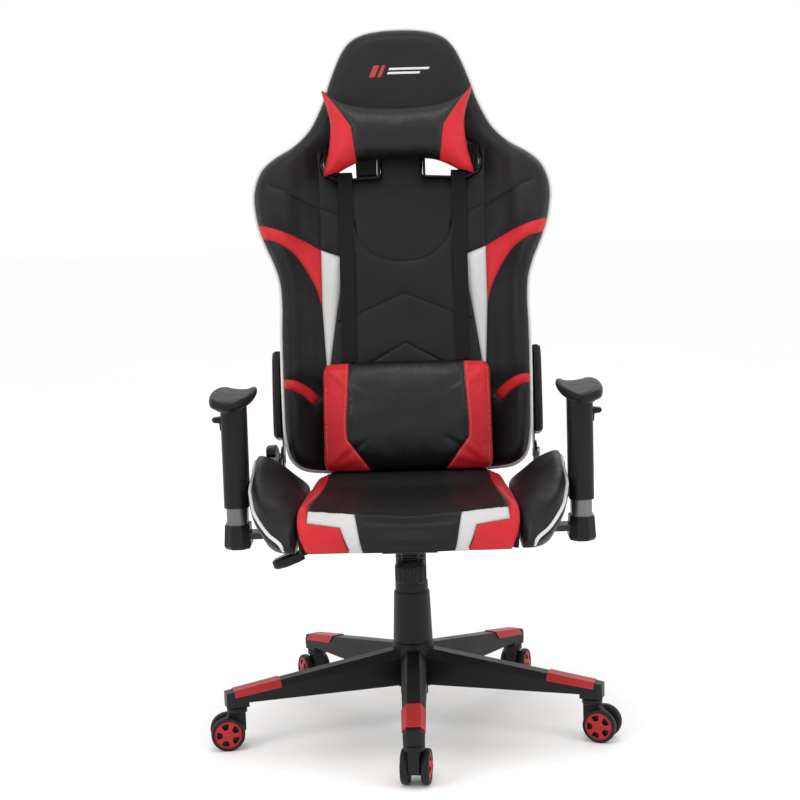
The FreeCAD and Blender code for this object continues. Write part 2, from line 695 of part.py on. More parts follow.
b = new_body("arm_boot_master")
sec = []
for z, hx_, hy_ in (("boot_low", 21, 30), ("boot_low+6", 24, 33), ("boot_high", 22, 31)):
    s = sk_on(b, "XY_Plane", z)
    hx_, hy_ = float(hx_), float(hy_)
    c = 13.0
    ax, ay = P["arm_x"], P["arm_y"]
    poly(s, [(ax - hx_ + c, ay - hy_), (ax + hx_ - c, ay - hy_), (ax + hx_, ay - hy_ + c), (ax + hx_, ay + hy_ - c), (ax + hx_ - c, ay + hy_), (ax - hx_ + c, ay + hy_), (ax - hx_, ay + hy_ - c), (ax - hx_, ay - hy_ + c)])
    sec.append(s)
loft(b, sec, name="boot")
s = sk_on(b, "XY_Plane", 352)
round_rect(s, P["arm_tube_x"] + 0.02, P["arm_tube_y"] + 0.02, 14, "arm_x", "arm_y")
feat(b, "Pocket", s, 60, rev=True, name="tube_way")
s = sk_on(b, "XY_Plane", 366)
poly(s, rect("arm_x-40", "arm_y-20", "arm_x+10", "arm_y+20"))
feat(b, "Pocket", s, 11, rev=True, name="bar_way")
mir = doc.addObject("Part::Mirroring", "arm_boot_other")
mir.Source = b
mir.Normal = V(1, 0, 0)
node("arm_boots", compound("arm_boots", [b, mir]))

# bolts under the seat: four through the plate and two in each arm bracket
b = new_body("bolt_master")
revolve(b, [(0, -5), (6.5, -5), (6.5, 0), (4.15, 0), (4.15, 2.9), (0, 2.9)], name="head")
s = sk_on(b, "XY_Plane", -6)
hexa = [(3.2 * math.cos(math.radians(60 * i)), 3.2 * math.sin(math.radians(60 * i))) for i in range(6)]
poly(s, hexa)
feat(b, "Pocket", s, 4, rev=True, name="key")
bolts = []
k = 0
for x, y, z in [(sx * 76, sy, "plate_low") for sx in (-1, 1) for sy in (-118, 90)] + [(sx * xx, P["arm_y"], 366) for sx in (-1, 1) for xx in (130, 165)]:
    k += 1
    bolts.append(compound("seat_bolt_%d" % k, [b], x, y, z))
node("seat_bolts", compound("seat_bolts", bolts))

# ================================================================ backrest, in its own leaning frame
back_pl = Pl(V(0, P["back_y"], P["back_z"]), Rot(V(1, 0, 0), -P["recline"]))
OUT = [(0, 0), (150, 0), (195, 6), (221, 26), (232, 62), (235, 130), (236, 200), (236, 262), (235, 318), (238, 358), (249, 394), (261, 421), (275, 459), (282.5, 497), (284, 523),
       (280, 548), (267, 577), (242, 600), (211, 619), (189, 640), (174, 660), (160, 688), (149, 714), (141, 739), (132, 764), (122, 789), (111, 810), (95, 829), (73, 841), (40, 848), (0, 850)]


def outline_wire(shrink=0.0):
    pts = [V(x - (shrink if x > 0 else 0), 0, v + (shrink if v < 400 else -shrink)) for x, v in OUT]
    left = [V(-p.x, 0, p.z) for p in pts[1:-1]]
    left.reverse()
    ring = pts + left
    return Part.makePolygon(ring + [ring[0]])


T = P["back_thick"]
prism = Part.Face(outline_wire()).extrude(V(0, 240, 0))
prism.translate(V(0, -140, 0))
# section across the backrest: flat middle, wings coming forward
half = [(0, -30), (120, -30), (160, -36), (195, -56), (222, -84), (240, -98), (262, -96), (280, -82), (300, -60)]
sec_pts = [V(x, y, 0) for x, y in half] + [V(300, 20, 0), V(240, 32, 0), V(0, T - 30, 0)]
sec_pts += [V(-p.x, p.y, 0) for p in reversed(sec_pts[1:-1])]
secf = Part.Face(Part.makePolygon(sec_pts + [sec_pts[0]]))
bar = secf.extrude(V(0, 0, 900))
bar.translate(V(0, 0, -20))
shell = prism.common(bar)
# wings are shallow at the foot of the backrest and at the shoulders
side = Part.makePolygon([V(0, -50, -20), V(0, -74, 40), V(0, -98, 130), V(0, -98, 330), V(0, -88, 460), V(0, -66, 600), V(0, -44, 700), V(0, -34, 880), V(0, -400, 880), V(0, -400, -20), V(0, -50, -20)])
cutter = Part.Face(side).extrude(V(700, 0, 0))
cutter.translate(V(-350, 0, 0))
shell = shell.cut(cutter)
rear = Part.makePolygon([V(0, 10, -20), V(0, 30, 40), V(0, T - 30, 160), V(0, T - 30, 600), V(0, 26, 770), V(0, 14, 890), V(0, 400, 890), V(0, 400, -20), V(0, 10, -20)])
cutter = Part.Face(rear).extrude(V(700, 0, 0))
cutter.translate(V(-350, 0, 0))
shell = shell.cut(cutter)


def slot_prism(grow, y0, y1):
    """the opening for the pillow straps, as a prism through the backrest"""
    pts = [(46, 560), (118, 556), (143, 566), (150, 584), (138, 612), (112, 628), (60, 632), (46, 622)]
    cx, cz = 96, 594
    q = []
    for x, z in pts:
        d = math.hypot(x - cx, z - cz)
        q.append(V(cx + (x - cx) * (d + grow) / d, y0, cz + (z - cz) * (d + grow) / d))
    return Part.Face(Part.makePolygon(q + [q[0]])).extrude(V(0, y1 - y0, 0))


def both(s):
    return [s, s.mirror(V(0, 0, 0), V(1, 0, 0))]


bez_tool = both(slot_prism(6, -60, 60))
for c in bez_tool:
    shell = shell.cut(c)

# steel tube loop inside the foam
fr = soft_path([V(0, 6, 40), V(200, 6, 40), V(206, 6, 330), V(176, 6, 560), V(165, 6, 640), V(88, 6, 760), V(0, 6, 790)], [40, 60, 60, 60, 60])
fr_r = fr.makePipeShell([Part.Wire([Part.Circle(V(0, 6, 40), V(1, 0, 0), 9).toShape()])], True, False)
fr_l = fr_r.mirror(V(0, 0, 0), V(1, 0, 0))
cross = Part.makeCylinder(8, 400, V(-200, 6, 250), V(1, 0, 0))
frame_s = fr_r.fuse(fr_l).fuse(cross).removeSplitter()
shell = shell.cut(frame_s)
print("back shell", shell.isValid(), len(shell.Solids), round(shell.Volume / 1e6, 2), "frame", frame_s.isValid(), len(frame_s.Solids))
node("back_shell", plain("back_shell", shell, back_pl))
node("back_frame", plain("back_frame", frame_s, back_pl))

# rings that line the two strap openings
rings = []
for c_out, c_in in zip(both(slot_prism(5.7, -30.5, 34)), both(slot_prism(0, -60, 60))):
    rings.append(c_out.cut(c_in))
node("strap_bezels", plain("strap_bezels", Part.makeCompound(rings), back_pl))

# steel arms of the hinge, one on each side of the backrest
b = new_body("back_bracket_master")
s = sk_on(b, "YZ_Plane", 239.2)
hv = (P["hinge_y"] - P["back_y"]) * math.cos(math.radians(P["recline"])) - (P["hinge_z"] - P["back_z"]) * math.sin(math.radians(P["recline"]))
hw = (P["hinge_y"] - P["back_y"]) * math.sin(math.radians(P["recline"])) + (P["hinge_z"] - P["back_z"]) * math.cos(math.radians(P["recline"]))
poly(s, [(hv - 24, hw - 4), (hv - 14, hw - 20), (hv, hw - 24), (hv + 14, hw - 20), (hv + 24, hw - 4), (hv + 24, hw + 14), (28, 120), (26, 218), (16, 226), (-8, 226), (-18, 218), (-20, 120), (hv - 26, hw + 14)])
feat(b, "Pad", s, 1.8, name="plate")
s = sk_on(b, "YZ_Plane", 235)
circ(s, hv, hw, 8.05)
through(b, s, "hinge_hole", mid=False, rev=True)
mir = doc.addObject("Part::Mirroring", "back_bracket_other")
mir.Source = b
mir.Normal = V(1, 0, 0)
bb = compound("back_brackets", [b, mir])
bb.Placement = back_pl
node("back_brackets", bb)

# moulded side covers over those arms
b = new_body("side_cover_master")
sec = []
for off, gr in ((241.2, 0), (251, 0), (256.5, -4)):
    s = sk_on(b, "YZ_Plane", off)
    poly(s, [(-16 - gr, 66 - gr), (30 + gr, 62 - gr), (38 + gr, 84), (34 + gr, 150), (28 + gr, 214 + gr), (16 + gr, 232 + gr), (-10 - gr, 232 + gr), (-22 - gr, 216 + gr), (-26 - gr, 150), (-22 - gr, 84)])
    sec.append(s)
loft(b, sec, name="cover")
mir = doc.addObject("Part::Mirroring", "side_cover_other")
mir.Source = b
mir.Normal = V(1, 0, 0)
sc = compound("side_covers", [b, mir])
sc.Placement = back_pl
node("side_covers", sc)


# pillows: plain closed solids where the stuffed ones sit
def hull_loft(sections):
    wires = [Part.makePolygon([V(*p) for p in s] + [V(*s[0])]) for s in sections]
    return Part.makeLoft(wires, True, True)


def lens(x, w0, v0, hw_, hv_):
    """eight-sided section in the backrest frame at x, centred on depth w0 and height v0"""
    out = []
    for a, bb_ in ((-1, -0.45), (-0.62, -0.92), (0.4, -1), (1, -0.62), (1, 0.62), (0.4, 1), (-0.62, 0.92), (-1, 0.45)):
        out.append((x, w0 + a * hw_, v0 + bb_ * hv_))
    return out


lum = hull_loft([lens(-156, -74, 98, 30, 88), lens(-132, -78, 101, 41, 97), lens(0, -80, 102, 44, 99), lens(132, -78, 101, 41, 97), lens(156, -74, 98, 30, 88)])
node("lumbar_pillow", plain("lumbar_pillow", lum, back_pl))
hp = hull_loft([lens(-147, -66, 641, 15, 83), lens(-112, -70, 631, 30, 66), lens(-60, -71, 631, 38, 50), lens(60, -71, 631, 38, 50), lens(112, -70, 631, 30, 66), lens(147, -66, 641, 15, 83)])
node("head_pillow", plain("head_pillow", hp, back_pl))

# elastic straps from the lumbar pillow up through the openings
straps = []
for sx in (1, -1):
    bx = Part.makeBox(28, 1.6, 362, V(94 if sx > 0 else -122, -33.4, 203))
    bx2 = Part.makeBox(28, 62, 1.6, V(94 if sx > 0 else -122, -33.4, 565))
    straps.append(bx.fuse(bx2).removeSplitter())
node("lumbar_straps", plain("lumbar_straps", Part.makeCompound(straps), back_pl))

# recline handle on the sitter's right
b = new_body("recline_handle")
s = sk_on(b, "YZ_Plane", -245.8)
poly(s, [(186, 462), (180, 456), (172, 454), (164, 457), (150, 470), (118, 484), (84, 488), (80, 494), (82, 504), (90, 508), (124, 506), (160, 496), (180, 484), (187, 472)])
feat(b, "Pad", s, 17, rev=True, name="arm")
fillet(b, lambda e: abs(e.CenterOfMass.x + 262.8) < 0.5 and e.Length > 3, 3.0)
node("recline_handle", b)

# ================================================================ arm rests
for side, sg in (("left", 1), ("right", -1)):
    b = new_body("arm_sleeve_" + side)
    ax = sg * P["arm_x"]
    s = sk_on(b, "XY_Plane", "sleeve_low")
    round_rect(s, "arm_out_x", "arm_out_y", 17, ax, "arm_y")
    feat(b, "Pad", s, "sleeve_high-sleeve_low", name="sleeve")
    s = sk_on(b, "XY_Plane", "sleeve_low-5")
    round_rect(s, P["arm_tube_x"] + 0.35, P["arm_tube_y"] + 0.35, 14.3, ax, "arm_y")
    feat(b, "Pocket", s, "sleeve_high-sleeve_low", rev=True, name="inside")
    # shallow guide for the release button
    s = sk_on(b, "XY_Plane", 556)
    poly(s, rect(ax + sg * (P["arm_out_x"] - 1.2), P["arm_y"] - 9.5, ax + sg * (P["arm_out_x"] + 6), P["arm_y"] + 9.5) if sg > 0 else rect(ax - P["arm_out_x"] - 6, P["arm_y"] - 9.5, ax - P["arm_out_x"] + 1.2, P["arm_y"] + 9.5))
    feat(b, "Pocket", s, 38, rev=True, name="guide")
    node("arm_sleeve_" + side, b)

    b = new_body("arm_pad_" + side)
    cx = sg * 303
    # the inner edge of each pad stands a little higher, and the plan narrows to both ends
    m = [(-40, 624), (-36, 632), (-22, 629), (0, 626), (22, 630), (35, 638), (41, 634), (40, 624), (31, 611), (18, 603), (10, 600.4), (-14, 600.4), (-30, 607), (-39, 616)]
    sec = []
    for dy, fx, fz in ((-125, 0.52, 0.55), (-118, 0.68, 0.78), (-102, 0.82, 0.92), (-70, 0.94, 1), (-10, 1, 1), (40, 1, 1), (85, 0.92, 1), (108, 0.8, 0.92), (120, 0.66, 0.78), (125, 0.5, 0.55)):
        s = sk_on(b, "XZ_Plane", "-(arm_y)-(%s)" % dy)
        poly(s, [(cx - sg * x * fx, 616 + (z - 616) * fz) for x, z in m])
        sec.append(s)
    loft(b, sec, name="pad")
    node("arm_pad_" + side, b)

    b = new_body("arm_button_" + side)
    s = sk_on(b, "XZ_Plane", -P["arm_y"])
    x0 = P["arm_x"] + P["arm_out_x"] - 0.8
    poly(s, [(sg * x0, 560), (sg * (x0 + 3.4), 560), (sg * (x0 + 4.4), 573), (sg * (x0 + 14), 574), (sg * (x0 + 17.4), 578), (sg * (x0 + 16), 582.5), (sg * (x0 + 5), 584), (sg * x0, 584)])
    feat(b, "Pad", s, 17, mid=True, name="trigger")
    fillet(b, lambda e: abs(e.Length - 17) < 0.01 and abs(e.CenterOfMass.x) > x0 + 10, 1.6)
    node("arm_button_" + side, b)

# ================================================================ casters
# master pieces: stem on the Z axis, wheels trailing towards +X, floor at z 0
hood = new_body("caster_hood_master")
s = sk_on(hood, "XZ_Plane")
poly(s, [(-14.5, 68), (-14.5, 34), (-9, 25), (4, 19), ("trail", 17.5), ("trail+9", 20), ("trail+13", 27), ("trail+14", 38), ("trail+9", 50), ("trail-2", 60), (14, 68)])
feat(hood, "Pad", s, "2*hood_half", mid=True, name="web")
revolve(hood, [(0, 63.5), (16, 63.5), (18, 66), (18, 73.2), (15, 75.2), (0, 75.2)], name="neck")
s = sk_on(hood, "XZ_Plane")
circ(s, "trail", "wheel_rad", "axle_rad+0.02")
through(hood, s, "axle_way")
s = sk_on(hood, "XY_Plane", 52)
circ(s, 0, 0, "stem_rad-0.02")
feat(hood, "Pocket", s, 40, rev=True, name="stem_way")
fillet(hood, lambda e: abs(abs(e.CenterOfMass.y) - P["hood_half"]) < 0.3 and e.Length > 6 and e.CenterOfMass.z < 62, 2.0)

stem = new_body("caster_stem_master")
revolve(stem, [(0, 52), ("stem_rad-0.04", 52), ("stem_rad-0.04", "sock_base+8"), ("stem_rad-0.7", "sock_base+9"), ("stem_rad-0.7", "sock_base+12"), ("stem_rad-0.04", "sock_base+13"), ("stem_rad-0.04", "stem_top-3"), ("stem_rad-2", "stem_top"), (0, "stem_top")], name="stem")
axle = new_body("caster_axle_master")
s = sk_on(axle, "XZ_Plane")
circ(s, "trail", "wheel_rad", "axle_rad")
feat(axle, "Pad", s, "2*(wheel_in+wheel_wide-5)", mid=True, name="axle")

tyre = new_body("caster_tyre_master")  # spins about its own Z axis, inner face at z 0
revolve(tyre, [("axle_rad+0.05", 0), ("wheel_rad-3", 0), ("wheel_rad-0.8", 0.8), ("wheel_rad", 3), ("wheel_rad", "wheel_wide-6"), ("wheel_rad-1", "wheel_wide-3"), ("wheel_rad-4", "wheel_wide-0.6"),
               ("wheel_rad-5.6", "wheel_wide-0.4"), ("wheel_rad-5.8", "wheel_wide-3"), ("axle_rad+0.05", "wheel_wide-3")], name="tyre")
disc = new_body("caster_disc_master")
revolve(disc, [(0, "wheel_wide-2.95"), ("wheel_rad-5.9", "wheel_wide-2.95"), ("wheel_rad-5.9", "wheel_wide-0.6"), ("wheel_rad-8", "wheel_wide+0.5"), ("wheel_rad-15", "wheel_wide+1.0"), (7, "wheel_wide+1.4"), (0, "wheel_wide+1.4")], name="disc")
s = sk_on(disc, "XY_Plane", "wheel_wide-6")
poly(s, [(11.2, 0), (12.6, -2.6), (17.4, -4.9), (19.6, -3.4), (20.1, 0), (19.6, 3.4), (17.4, 4.9), (12.6, 2.6)])
h = feat(disc, "Pocket", s, 12, rev=True, name="window")
polar(disc, [h], 5, name="windows")

doc.recompute()
wheel_r_ = doc.addObject("Part::Compound", "wheel_one")
wheel_r_.Links = [tyre, disc]
# wheel on the +Y side: local z to +y
wheel_r_.Placement = Pl(V(P["trail"], P["wheel_in"], P["wheel_rad"]), Rot(V(1, 0, 0), -90))
wheel_r_.setExpression("Placement.Base.x", ex("trail"))
wheel_r_.setExpression("Placement.Base.y", ex("wheel_in"))
wheel_r_.setExpression("Placement.Base.z", ex("wheel_rad"))
wheel_l_ = doc.addObject("Part::Compound", "wheel_two")
wheel_l_.Links = [tyre, disc]
wheel_l_.Placement = Pl(V(P["trail"], -P["wheel_in"], P["wheel_rad"]), Rot(V(1, 0, 0), 90))
wheel_l_.setExpression("Placement.Base.x", ex("trail"))
wheel_l_.setExpression("Placement.Base.y", ex("-wheel_in"))
wheel_l_.setExpression("Placement.Base.z", ex("wheel_rad"))

# heading of each caster: leg angle from -Y, and the way its wheels trail, in degrees from +X
CASTERS = [(0, 82), (72, -24), (144, 70), (216, 116), (288, 190)]
for i, (leg_a, trail_a) in enumerate(CASTERS):
    xe = "leg_rad*%.9f" % math.sin(math.radians(leg_a))
    ye = "leg_rad*%.9f" % -math.cos(math.radians(leg_a))
    nm = "caster_%d" % (i + 1)
    for part, links in (("hood", [hood]), ("pins", [stem, axle]), ("wheel_a", [wheel_r_]), ("wheel_b", [wheel_l_])):
        c = compound("%s_%s" % (nm, part), links, xe, ye, 0, (0, 0, 1), trail_a)
        node("%s_%s" % (nm, part), c)

# ================================================================ checks and files
doc.recompute()
bad = []
for o in doc.Objects:
    if "Invalid" in o.State or "Error" in o.State:
        bad.append((o.Name, o.State))
for name, o in nodes.items():
    sh = o.Shape
    if sh.isNull() or not sh.isValid() or not sh.Solids:
        bad.append((name, "shape"))
    elif any(x.Volume <= 0 for x in sh.Solids):
        bad.append((name, "volume"))
if bad:
    raise RuntimeError("not built: %s" % bad)
os.makedirs("parts", exist_ok=True)
for f in os.listdir("parts"):
    if f.endswith(".step"):
        os.remove(os.path.join("parts", f))
tot = 0
for name, o in nodes.items():
    sh = o.Shape
    sol = sh.Solids
    out = sol[0] if len(sol) == 1 else Part.makeCompound(sol)
    out.exportStep("parts/%s.step" % name)
    tot += 1
print("nodes", tot)
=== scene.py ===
import bpy, bmesh, math, json
import numpy as np
from mathutils import Vector, Matrix
from mathutils.geometry import delaunay_2d_cdt

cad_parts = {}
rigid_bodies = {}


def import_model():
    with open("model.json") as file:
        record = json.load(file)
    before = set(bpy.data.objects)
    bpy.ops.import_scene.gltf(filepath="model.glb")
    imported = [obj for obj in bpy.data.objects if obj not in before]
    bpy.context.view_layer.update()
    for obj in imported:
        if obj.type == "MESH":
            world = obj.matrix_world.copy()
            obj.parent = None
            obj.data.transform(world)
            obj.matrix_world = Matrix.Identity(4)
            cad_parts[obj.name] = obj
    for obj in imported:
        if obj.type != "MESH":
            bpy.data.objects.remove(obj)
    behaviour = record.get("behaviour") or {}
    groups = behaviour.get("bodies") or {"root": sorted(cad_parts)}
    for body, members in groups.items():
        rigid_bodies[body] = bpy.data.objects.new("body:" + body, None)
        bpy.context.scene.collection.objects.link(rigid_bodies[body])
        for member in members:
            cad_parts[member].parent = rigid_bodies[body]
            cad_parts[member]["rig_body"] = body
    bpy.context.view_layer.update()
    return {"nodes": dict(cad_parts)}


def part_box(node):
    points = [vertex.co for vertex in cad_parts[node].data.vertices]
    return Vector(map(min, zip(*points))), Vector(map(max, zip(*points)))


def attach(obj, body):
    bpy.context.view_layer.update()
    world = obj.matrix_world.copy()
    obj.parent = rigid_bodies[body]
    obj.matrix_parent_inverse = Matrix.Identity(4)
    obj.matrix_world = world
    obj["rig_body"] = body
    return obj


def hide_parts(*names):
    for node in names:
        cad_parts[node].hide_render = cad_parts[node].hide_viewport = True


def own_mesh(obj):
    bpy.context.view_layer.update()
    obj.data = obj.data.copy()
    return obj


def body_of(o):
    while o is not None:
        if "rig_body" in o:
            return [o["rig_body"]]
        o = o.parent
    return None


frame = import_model()
scene = bpy.context.scene
NODES = frame["nodes"]


# ------------------------------------------------------------------ camera, floor, light
def camera():
    yaw, pitch, roll = [math.radians(a) for a in (-0.81, 7.04, -1.65)]
    fw = Vector((math.sin(yaw) * math.cos(pitch), math.cos(yaw) * math.cos(pitch), -math.sin(pitch)))
    rt = Vector((math.cos(yaw), -math.sin(yaw), 0))
    up = rt.cross(fw)
    r2 = rt * math.cos(roll) + up * math.sin(roll)
    u2 = -rt * math.sin(roll) + up * math.cos(roll)
    cd = bpy.data.cameras.new("camera")
    cd.sensor_width = 36
    cd.lens = 1690 * 36 / 800
    cd.clip_end = 60
    co = bpy.data.objects.new("camera", cd)
    scene.collection.objects.link(co)
    co.matrix_world = Matrix(((r2.x, u2.x, -fw.x, 0.031), (r2.y, u2.y, -fw.y, -3.0), (r2.z, u2.z, -fw.z, 0.97), (0, 0, 0, 1)))
    scene.camera = co


def area(name, loc, aim, energy, sx, sy, colour=(1, 1, 1)):
    ld = bpy.data.lights.new(name, "AREA")
    ld.shape = "RECTANGLE"
    ld.energy, ld.size, ld.size_y, ld.color = energy, sx, sy, colour
    lo = bpy.data.objects.new(name, ld)
    lo.location = loc
    lo.rotation_euler = (Vector(aim) - Vector(loc)).to_track_quat("-Z", "Y").to_euler()
    scene.collection.objects.link(lo)


camera()
scene.view_settings.view_transform = "Standard"
area("soft_left", (-2.1, -1.7, 1.9), (0, 0.1, 0.75), 17, 0.9, 1.7)
area("soft_right", (2.3, -1.5, 1.7), (0, 0.1, 0.75), 11, 0.8, 1.7)
area("soft_top", (0.0, -0.7, 2.9), (0, 0.1, 0.6), 15, 1.5, 0.9)
area("soft_back", (0.4, 2.6, 2.4), (0, 0.1, 0.8), 10, 2.0, 1.4)
_w = bpy.data.worlds.new("studio")
_w.use_nodes = True
_w.node_tree.nodes["Background"].inputs[0].default_value = (1, 1, 1, 1)
_w.node_tree.nodes["Background"].inputs[1].default_value = 1.0
scene.world = _w


# ------------------------------------------------------------------ materials
class G:
    """A material and the few node calls used below. Coordinates are the object's own, in metres."""

    def __init__(self, name):
        self.m = bpy.data.materials.new(name)
        self.m.use_nodes = True
        self.t = self.m.node_tree
        self.n = self.t.nodes
        self.p = self.n["Principled BSDF"]
        self.co = self.n.new("ShaderNodeTexCoord").outputs["Object"]

    def set(self, sock, val):
        if hasattr(val, "is_output"):
            self.t.links.new(val, sock)
        else:
            sock.default_value = val

    def noise(self, scale, detail=2.0, rough=0.5, co=None, distort=0.0):
        n = self.n.new("ShaderNodeTexNoise")
        self.set(n.inputs["Vector"], co or self.co)
        n.inputs["Scale"].default_value = scale
        n.inputs["Detail"].default_value = detail
        n.inputs["Roughness"].default_value = rough
        n.inputs["Distortion"].default_value = distort
        return n.outputs["Fac"]

    def warp(self, scale, amount):
        n = self.n.new("ShaderNodeTexNoise")
        self.set(n.inputs["Vector"], self.co)
        n.inputs["Scale"].default_value = scale
        v = self.n.new("ShaderNodeVectorMath")
        v.operation = "MULTIPLY_ADD"
        self.t.links.new(n.outputs["Color"], v.inputs[0])
        v.inputs[1].default_value = (amount,) * 3
        self.t.links.new(self.co, v.inputs[2])
        return v.outputs[0]

    def stretch(self, s):
        v = self.n.new("ShaderNodeVectorMath")
        v.operation = "MULTIPLY"
        self.t.links.new(self.co, v.inputs[0])
        v.inputs[1].default_value = s
        return v.outputs[0]

    def voronoi(self, scale, feature="DISTANCE_TO_EDGE", co=None):
        n = self.n.new("ShaderNodeTexVoronoi")
        n.feature = feature
        self.set(n.inputs["Vector"], co or self.co)
        n.inputs["Scale"].default_value = scale
        return n.outputs["Distance"]

    def wave(self, scale, axis="X", co=None, distort=0.0):
        n = self.n.new("ShaderNodeTexWave")
        n.bands_direction = axis
        self.set(n.inputs["Vector"], co or self.co)
        n.inputs["Scale"].default_value = scale
        n.inputs["Distortion"].default_value = distort
        return n.outputs["Fac"]

    def ramp(self, fac, a, b, lo=0.0, hi=1.0, ease="EASE"):
        n = self.n.new("ShaderNodeMapRange")
        n.interpolation_type = "SMOOTHSTEP" if ease == "EASE" else "LINEAR"
        self.set(n.inputs["Value"], fac)
        n.inputs["From Min"].default_value = a
        n.inputs["From Max"].default_value = b
        n.inputs["To Min"].default_value = lo
        n.inputs["To Max"].default_value = hi
        return n.outputs["Result"]

    def math(self, op, a, b=0.0, clamp=False):
        n = self.n.new("ShaderNodeMath")
        n.operation = op
        n.use_clamp = clamp
        self.set(n.inputs[0], a)
        self.set(n.inputs[1], b)
        return n.outputs[0]

    def mix(self, fac, a, b):
        n = self.n.new("ShaderNodeMix")
        n.data_type = "RGBA"
        self.set(n.inputs["Factor"], fac)
        for i, c in ((6, a), (7, b)):
            self.set(n.inputs[i], c if hasattr(c, "is_output") else (*c, 1))
        return n.outputs[2]

    def attr(self, name):
        n = self.n.new("ShaderNodeAttribute")
        n.attribute_name = name
        return n.outputs["Fac"]

    def bump(self, height, strength, dist, normal=None):
        n = self.n.new("ShaderNodeBump")
        n.inputs["Strength"].default_value = strength
        n.inputs["Distance"].default_value = dist
        self.set(n.inputs["Height"], height)
        if normal is not None:
            self.set(n.inputs["Normal"], normal)
        return n.outputs[0]

    def edge(self, radius=0.0012):
        b = self.n.new("ShaderNodeBevel")
        b.samples = 4
        b.inputs["Radius"].default_value = radius
        g = self.n.new("ShaderNodeNewGeometry")
        d = self.n.new("ShaderNodeVectorMath")
        d.operation = "DOT_PRODUCT"
        self.t.links.new(b.outputs[0], d.inputs[0])
        self.t.links.new(g.outputs["Normal"], d.inputs[1])
        return self.ramp(d.outputs["Value"], 0.995, 0.86, 0.0, 1.0)

    def out(self, **k):
        for name, val in k.items():
            sock = self.p.inputs[name.replace("_", " ")]
            if isinstance(val, tuple) and len(val) == 3 and sock.type == "RGBA":
                val = (*val, 1)
            self.set(sock, val)
        return self.m


def sc3(c, k):
    return tuple(min(1.0, x * k) for x in c)


def leather(name, rgb, rough=0.42, cell=720, depth=0.00016, vary=0.14, crease=0.72, spec=0.22):
    g = G(name)
    w = g.warp(210, 0.0022)
    cells = g.ramp(g.voronoi(cell, co=w), 0.0, 0.16)
    fine = g.noise(2600, 3)
    broad = g.noise(7.5, 4, 0.55)
    mid = g.noise(46, 3, 0.6)
    seam = g.attr("seam")
    h = g.math("ADD", g.math("MULTIPLY", cells, 0.75), g.math("MULTIPLY", fine, 0.3))
    n = g.bump(h, 0.55, depth)
    n = g.bump(mid, 0.22, 0.0012, n)
    c = g.mix(g.ramp(broad, 0.3, 0.7), sc3(rgb, 1 - vary), sc3(rgb, 1 + vary))
    c = g.mix(g.ramp(cells, 0, 1, 1 - crease, 0), c, sc3(rgb, 0.55))
    # painted seam shade and dirt: where the per-point seam value is high the colour darkens towards 0.22 of the base
    c = g.mix(g.math("MULTIPLY", seam, 0.72, True), c, sc3(rgb, 0.22))
    r = g.ramp(mid, 0.25, 0.75, rough - 0.06, rough + 0.07)
    r = g.math("ADD", r, g.ramp(cells, 0, 1, 0.1, 0.0))
    return g.out(Base_Color=c, Roughness=r, Normal=n, Specular_IOR_Level=spec)


def plastic(name, rgb, rough=0.5, tex=900, depth=0.00012, wear=0.0, vary=0.10, spec=0.24, edge_col=None):
    g = G(name)
    t = g.noise(tex, 3, 0.6)
    t2 = g.voronoi(tex * 0.8, "F1")
    broad = g.noise(11, 4, 0.6)
    n = g.bump(g.math("ADD", t, g.math("MULTIPLY", t2, 0.5)), 0.5, depth)
    c = g.mix(g.ramp(broad, 0.3, 0.7), sc3(rgb, 1 - vary), sc3(rgb, 1 + vary))
    r = g.ramp(broad, 0.3, 0.7, rough - 0.05, rough + 0.06)
    if wear:
        e = g.math("MULTIPLY", g.edge(), g.ramp(g.noise(60, 4, 0.7), 0.35, 0.62, 0.2, 1.0))
        c = g.mix(g.math("MULTIPLY", e, wear), c, edge_col or sc3(rgb, 2.6))
        r = g.math("SUBTRACT", r, g.math("MULTIPLY", e, 0.08))
    scr = g.ramp(g.noise(34, 5, 0.75, g.stretch((1, 1, 7.0))), 0.62, 0.7, 0.0, 0.08)
    r = g.math("ADD", r, scr)
    return g.out(Base_Color=c, Roughness=r, Normal=n, Specular_IOR_Level=spec)


def steel(name, rgb, rough=0.3, metallic=1.0, axis=(40, 40, 1), paint=False):
    g = G(name)
    b = g.noise(700 if paint else 60, 4, 0.6, None if paint else g.stretch(axis))
    broad = g.noise(14, 3)
    n = g.bump(b, 0.3, 0.00008)
    c = g.mix(g.ramp(broad, 0.3, 0.7), sc3(rgb, 0.88), sc3(rgb, 1.08))
    r = g.ramp(b, 0.3, 0.7, rough - 0.06, rough + 0.08)
    return g.out(Base_Color=c, Roughness=r, Normal=n, Metallic=metallic)


def webbing(name, rgb):
    g = G(name)
    u = g.wave(330, "X")
    v = g.wave(420, "Z", distort=0.4)
    h = g.math("ADD", g.math("MULTIPLY", u, 0.6), g.math("MULTIPLY", v, 0.6))
    n = g.bump(h, 0.8, 0.0004)
    c = g.mix(g.ramp(h, 0.3, 1.0), sc3(rgb, 0.55), sc3(rgb, 1.35))
    return g.out(Base_Color=c, Roughness=0.82, Normal=n, Sheen_Weight=0.05, Sheen_Roughness=0.5, Specular_IOR_Level=0.2)


def thread(name, rgb):
    g = G(name)
    tw = g.wave(900, "DIAGONAL")
    n = g.bump(tw, 0.6, 0.0002)
    c = g.mix(g.ramp(tw, 0.1, 0.9), sc3(rgb, 0.7), sc3(rgb, 1.1))
    return g.out(Base_Color=c, Roughness=0.6, Normal=n, Sheen_Weight=0.2)


